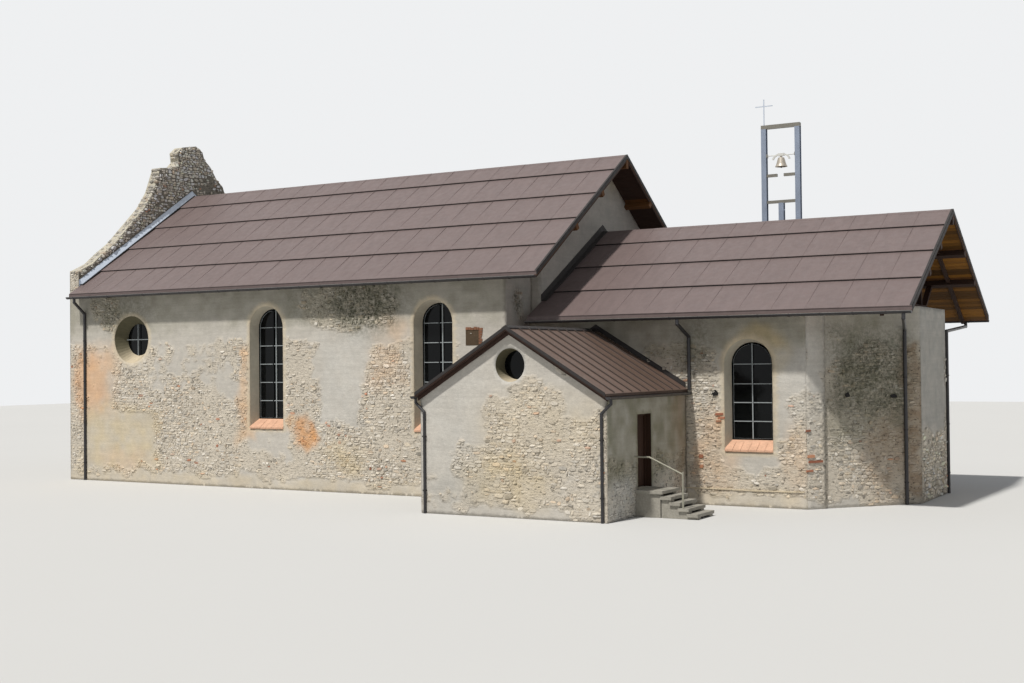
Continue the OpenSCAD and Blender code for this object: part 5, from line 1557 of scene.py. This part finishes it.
NODE_LOOKS = {
    "inner_plaster": ("nave_south_wall", "nave_north_wall", "west_gable_wall", "chancel_gable_wall",
                      "choir_south_wall", "choir_north_wall", "apse_southeast_wall", "apse_east_wall",
                      "apse_northeast_wall", "sacristy_front_wall", "sacristy_west_wall",
                      "sacristy_east_wall_south", "sacristy_east_wall_north", "sacristy_door_lintel"),
    "floor_stone": ("nave_floor", "choir_floor", "sacristy_floor"),
    "roof_timber": ("nave_wall_plates", "nave_purlins", "nave_roof_boards", "choir_wall_plates",
                    "choir_roof_boards"),
    "verge_timber": ("choir_purlins", "choir_gable_truss", "sacristy_roof_boards"),
    "roof_sheet": ("nave_roof_south", "nave_roof_north", "choir_roof_south", "choir_roof_north"),
    "sacristy_sheet": ("sacristy_roof_east", "sacristy_roof_west"),
    "gutter_metal": ("nave_gutters", "nave_downpipe", "choir_gutters", "choir_downpipes",
                     "sacristy_gutters", "sacristy_downpipes"),
    "zinc": ("ruin_flashing", "frame_cross"),
    "window_glass": ("nave_window_glass", "choir_window_glass", "sacristy_window_glass"),
    "sill_tile": ("nave_window_sills", "choir_window_sills"),
    "door_wood": ("west_door", "sacristy_door_frame", "sacristy_door"),
    "stair_stone": ("stair_landing", "stair_treads"),
    "rail_paint": ("stair_handrail",),
    "bell_yoke": ("bell_headstock",),
    "frame_steel": ("bell_frame_posts",),
    "frame_beam": ("bell_frame_beams",),
    "bell_metal": ("bell_shell",),
    "dark_iron": ("bell_clapper",),
}


def dress_nodes():
    """Every CAD node gets its finish."""
    for look, names in NODE_LOOKS.items():
        for name in names:
            data = nodes[name].data
            data.materials.clear()
            data.materials.append(LOOKS[look])


# Stage, light and camera

STAGE_HALF = 90
STAGE_Z = -0.004
SKY = {"Color": (0.92, 0.95, 1.0, 1), "Strength": 0.33}
BACKDROP = {"Color": (0.86, 0.87, 0.88, 1), "Strength": 1.0}
SUN_ENERGY = 3.45
SUN_WIDTH = math.radians(3)
SUN_COLOUR = (1.0, 0.97, 0.92)
SUN_DIRECTION = Vector((0.16, 1.0, -1.68))
CAMERA_PLACE = (28.546, -39.085, 4.0)
CAMERA_YAW = math.radians(30.005)
CAMERA_PITCH = math.radians(0.955)
CAMERA_ROLL = math.radians(-0.574)
CAMERA_LENS = 46.459


def stage():
    corners = [(x * STAGE_HALF, y * STAGE_HALF, STAGE_Z) for x, y in ((-1, -1), (1, -1), (1, 1), (-1, 1))]
    mesh = bpy.data.meshes.new("stage_floor")
    mesh.from_pydata(corners, [], [(0, 1, 2, 3)])
    look = Look("stage_floor", 0.9, specular=0.2)
    mesh.materials.append(look.finish(look.tinted((0.6, 0.6, 0.59, 1.0), look.shade(0.05, 0.99, 1.01))))
    made = bpy.data.objects.new("stage_floor", mesh)
    bpy.context.scene.collection.objects.link(made)


def light():
    """A soft sky that lights, a paler one for the camera and for mirroring faces, and one sun."""
    scene = bpy.context.scene
    scene.view_settings.view_transform = "Standard"
    scene.world = bpy.data.worlds.new("studio")
    scene.world.use_nodes = True
    tree = scene.world.node_tree
    tree.nodes.clear()
    lamp = add_node(tree, "ShaderNodeBackground", SKY)
    shown = add_node(tree, "ShaderNodeBackground", BACKDROP)
    path = add_node(tree, "ShaderNodeLightPath").outputs
    seen = add_node(tree, "ShaderNodeMath", {0: path["Is Camera Ray"], 1: path["Is Glossy Ray"]},
                    operation="MAXIMUM")
    mix = add_node(tree, "ShaderNodeMixShader", {0: seen.outputs[0], 1: lamp.outputs[0], 2: shown.outputs[0]})
    add_node(tree, "ShaderNodeOutputWorld", {"Surface": mix.outputs[0]})
    sun = bpy.data.lights.new("key", "SUN")
    sun.energy = SUN_ENERGY
    sun.angle = SUN_WIDTH
    sun.color = SUN_COLOUR
    key = bpy.data.objects.new("key", sun)
    scene.collection.objects.link(key)
    key.rotation_mode = "QUATERNION"
    key.rotation_quaternion = SUN_DIRECTION.normalized().to_track_quat("-Z", "Y")


def camera():
    data = bpy.data.cameras.new("photo_view")
    data.lens = CAMERA_LENS
    data.sensor_width = 36
    data.clip_start, data.clip_end = 0.5, 400
    made = bpy.data.objects.new("photo_view", data)
    bpy.context.scene.collection.objects.link(made)
    flat = Vector((math.cos(CAMERA_YAW), math.sin(CAMERA_YAW), 0))
    level = math.cos(CAMERA_PITCH)
    ahead = Vector((-math.sin(CAMERA_YAW) * level, math.cos(CAMERA_YAW) * level, math.sin(CAMERA_PITCH)))
    up = flat.cross(ahead)
    right = flat * math.cos(CAMERA_ROLL) + up * math.sin(CAMERA_ROLL)
    top = up * math.cos(CAMERA_ROLL) - flat * math.sin(CAMERA_ROLL)
    turn = Matrix((right, top, -ahead)).transposed().to_4x4()
    made.matrix_world = Matrix.Translation(CAMERA_PLACE) @ turn
    bpy.context.scene.camera = made


camera()
light()
stage()
dress_nodes()
walls()
ruin_stones()
ruin_strip()
putlog_holes()
single_bricks()
round_linings()
plinth_ledge()
wall_niche()
roofs()
gutter_fittings()
windows()
sill_tiles()
door_planks()
door_lining()
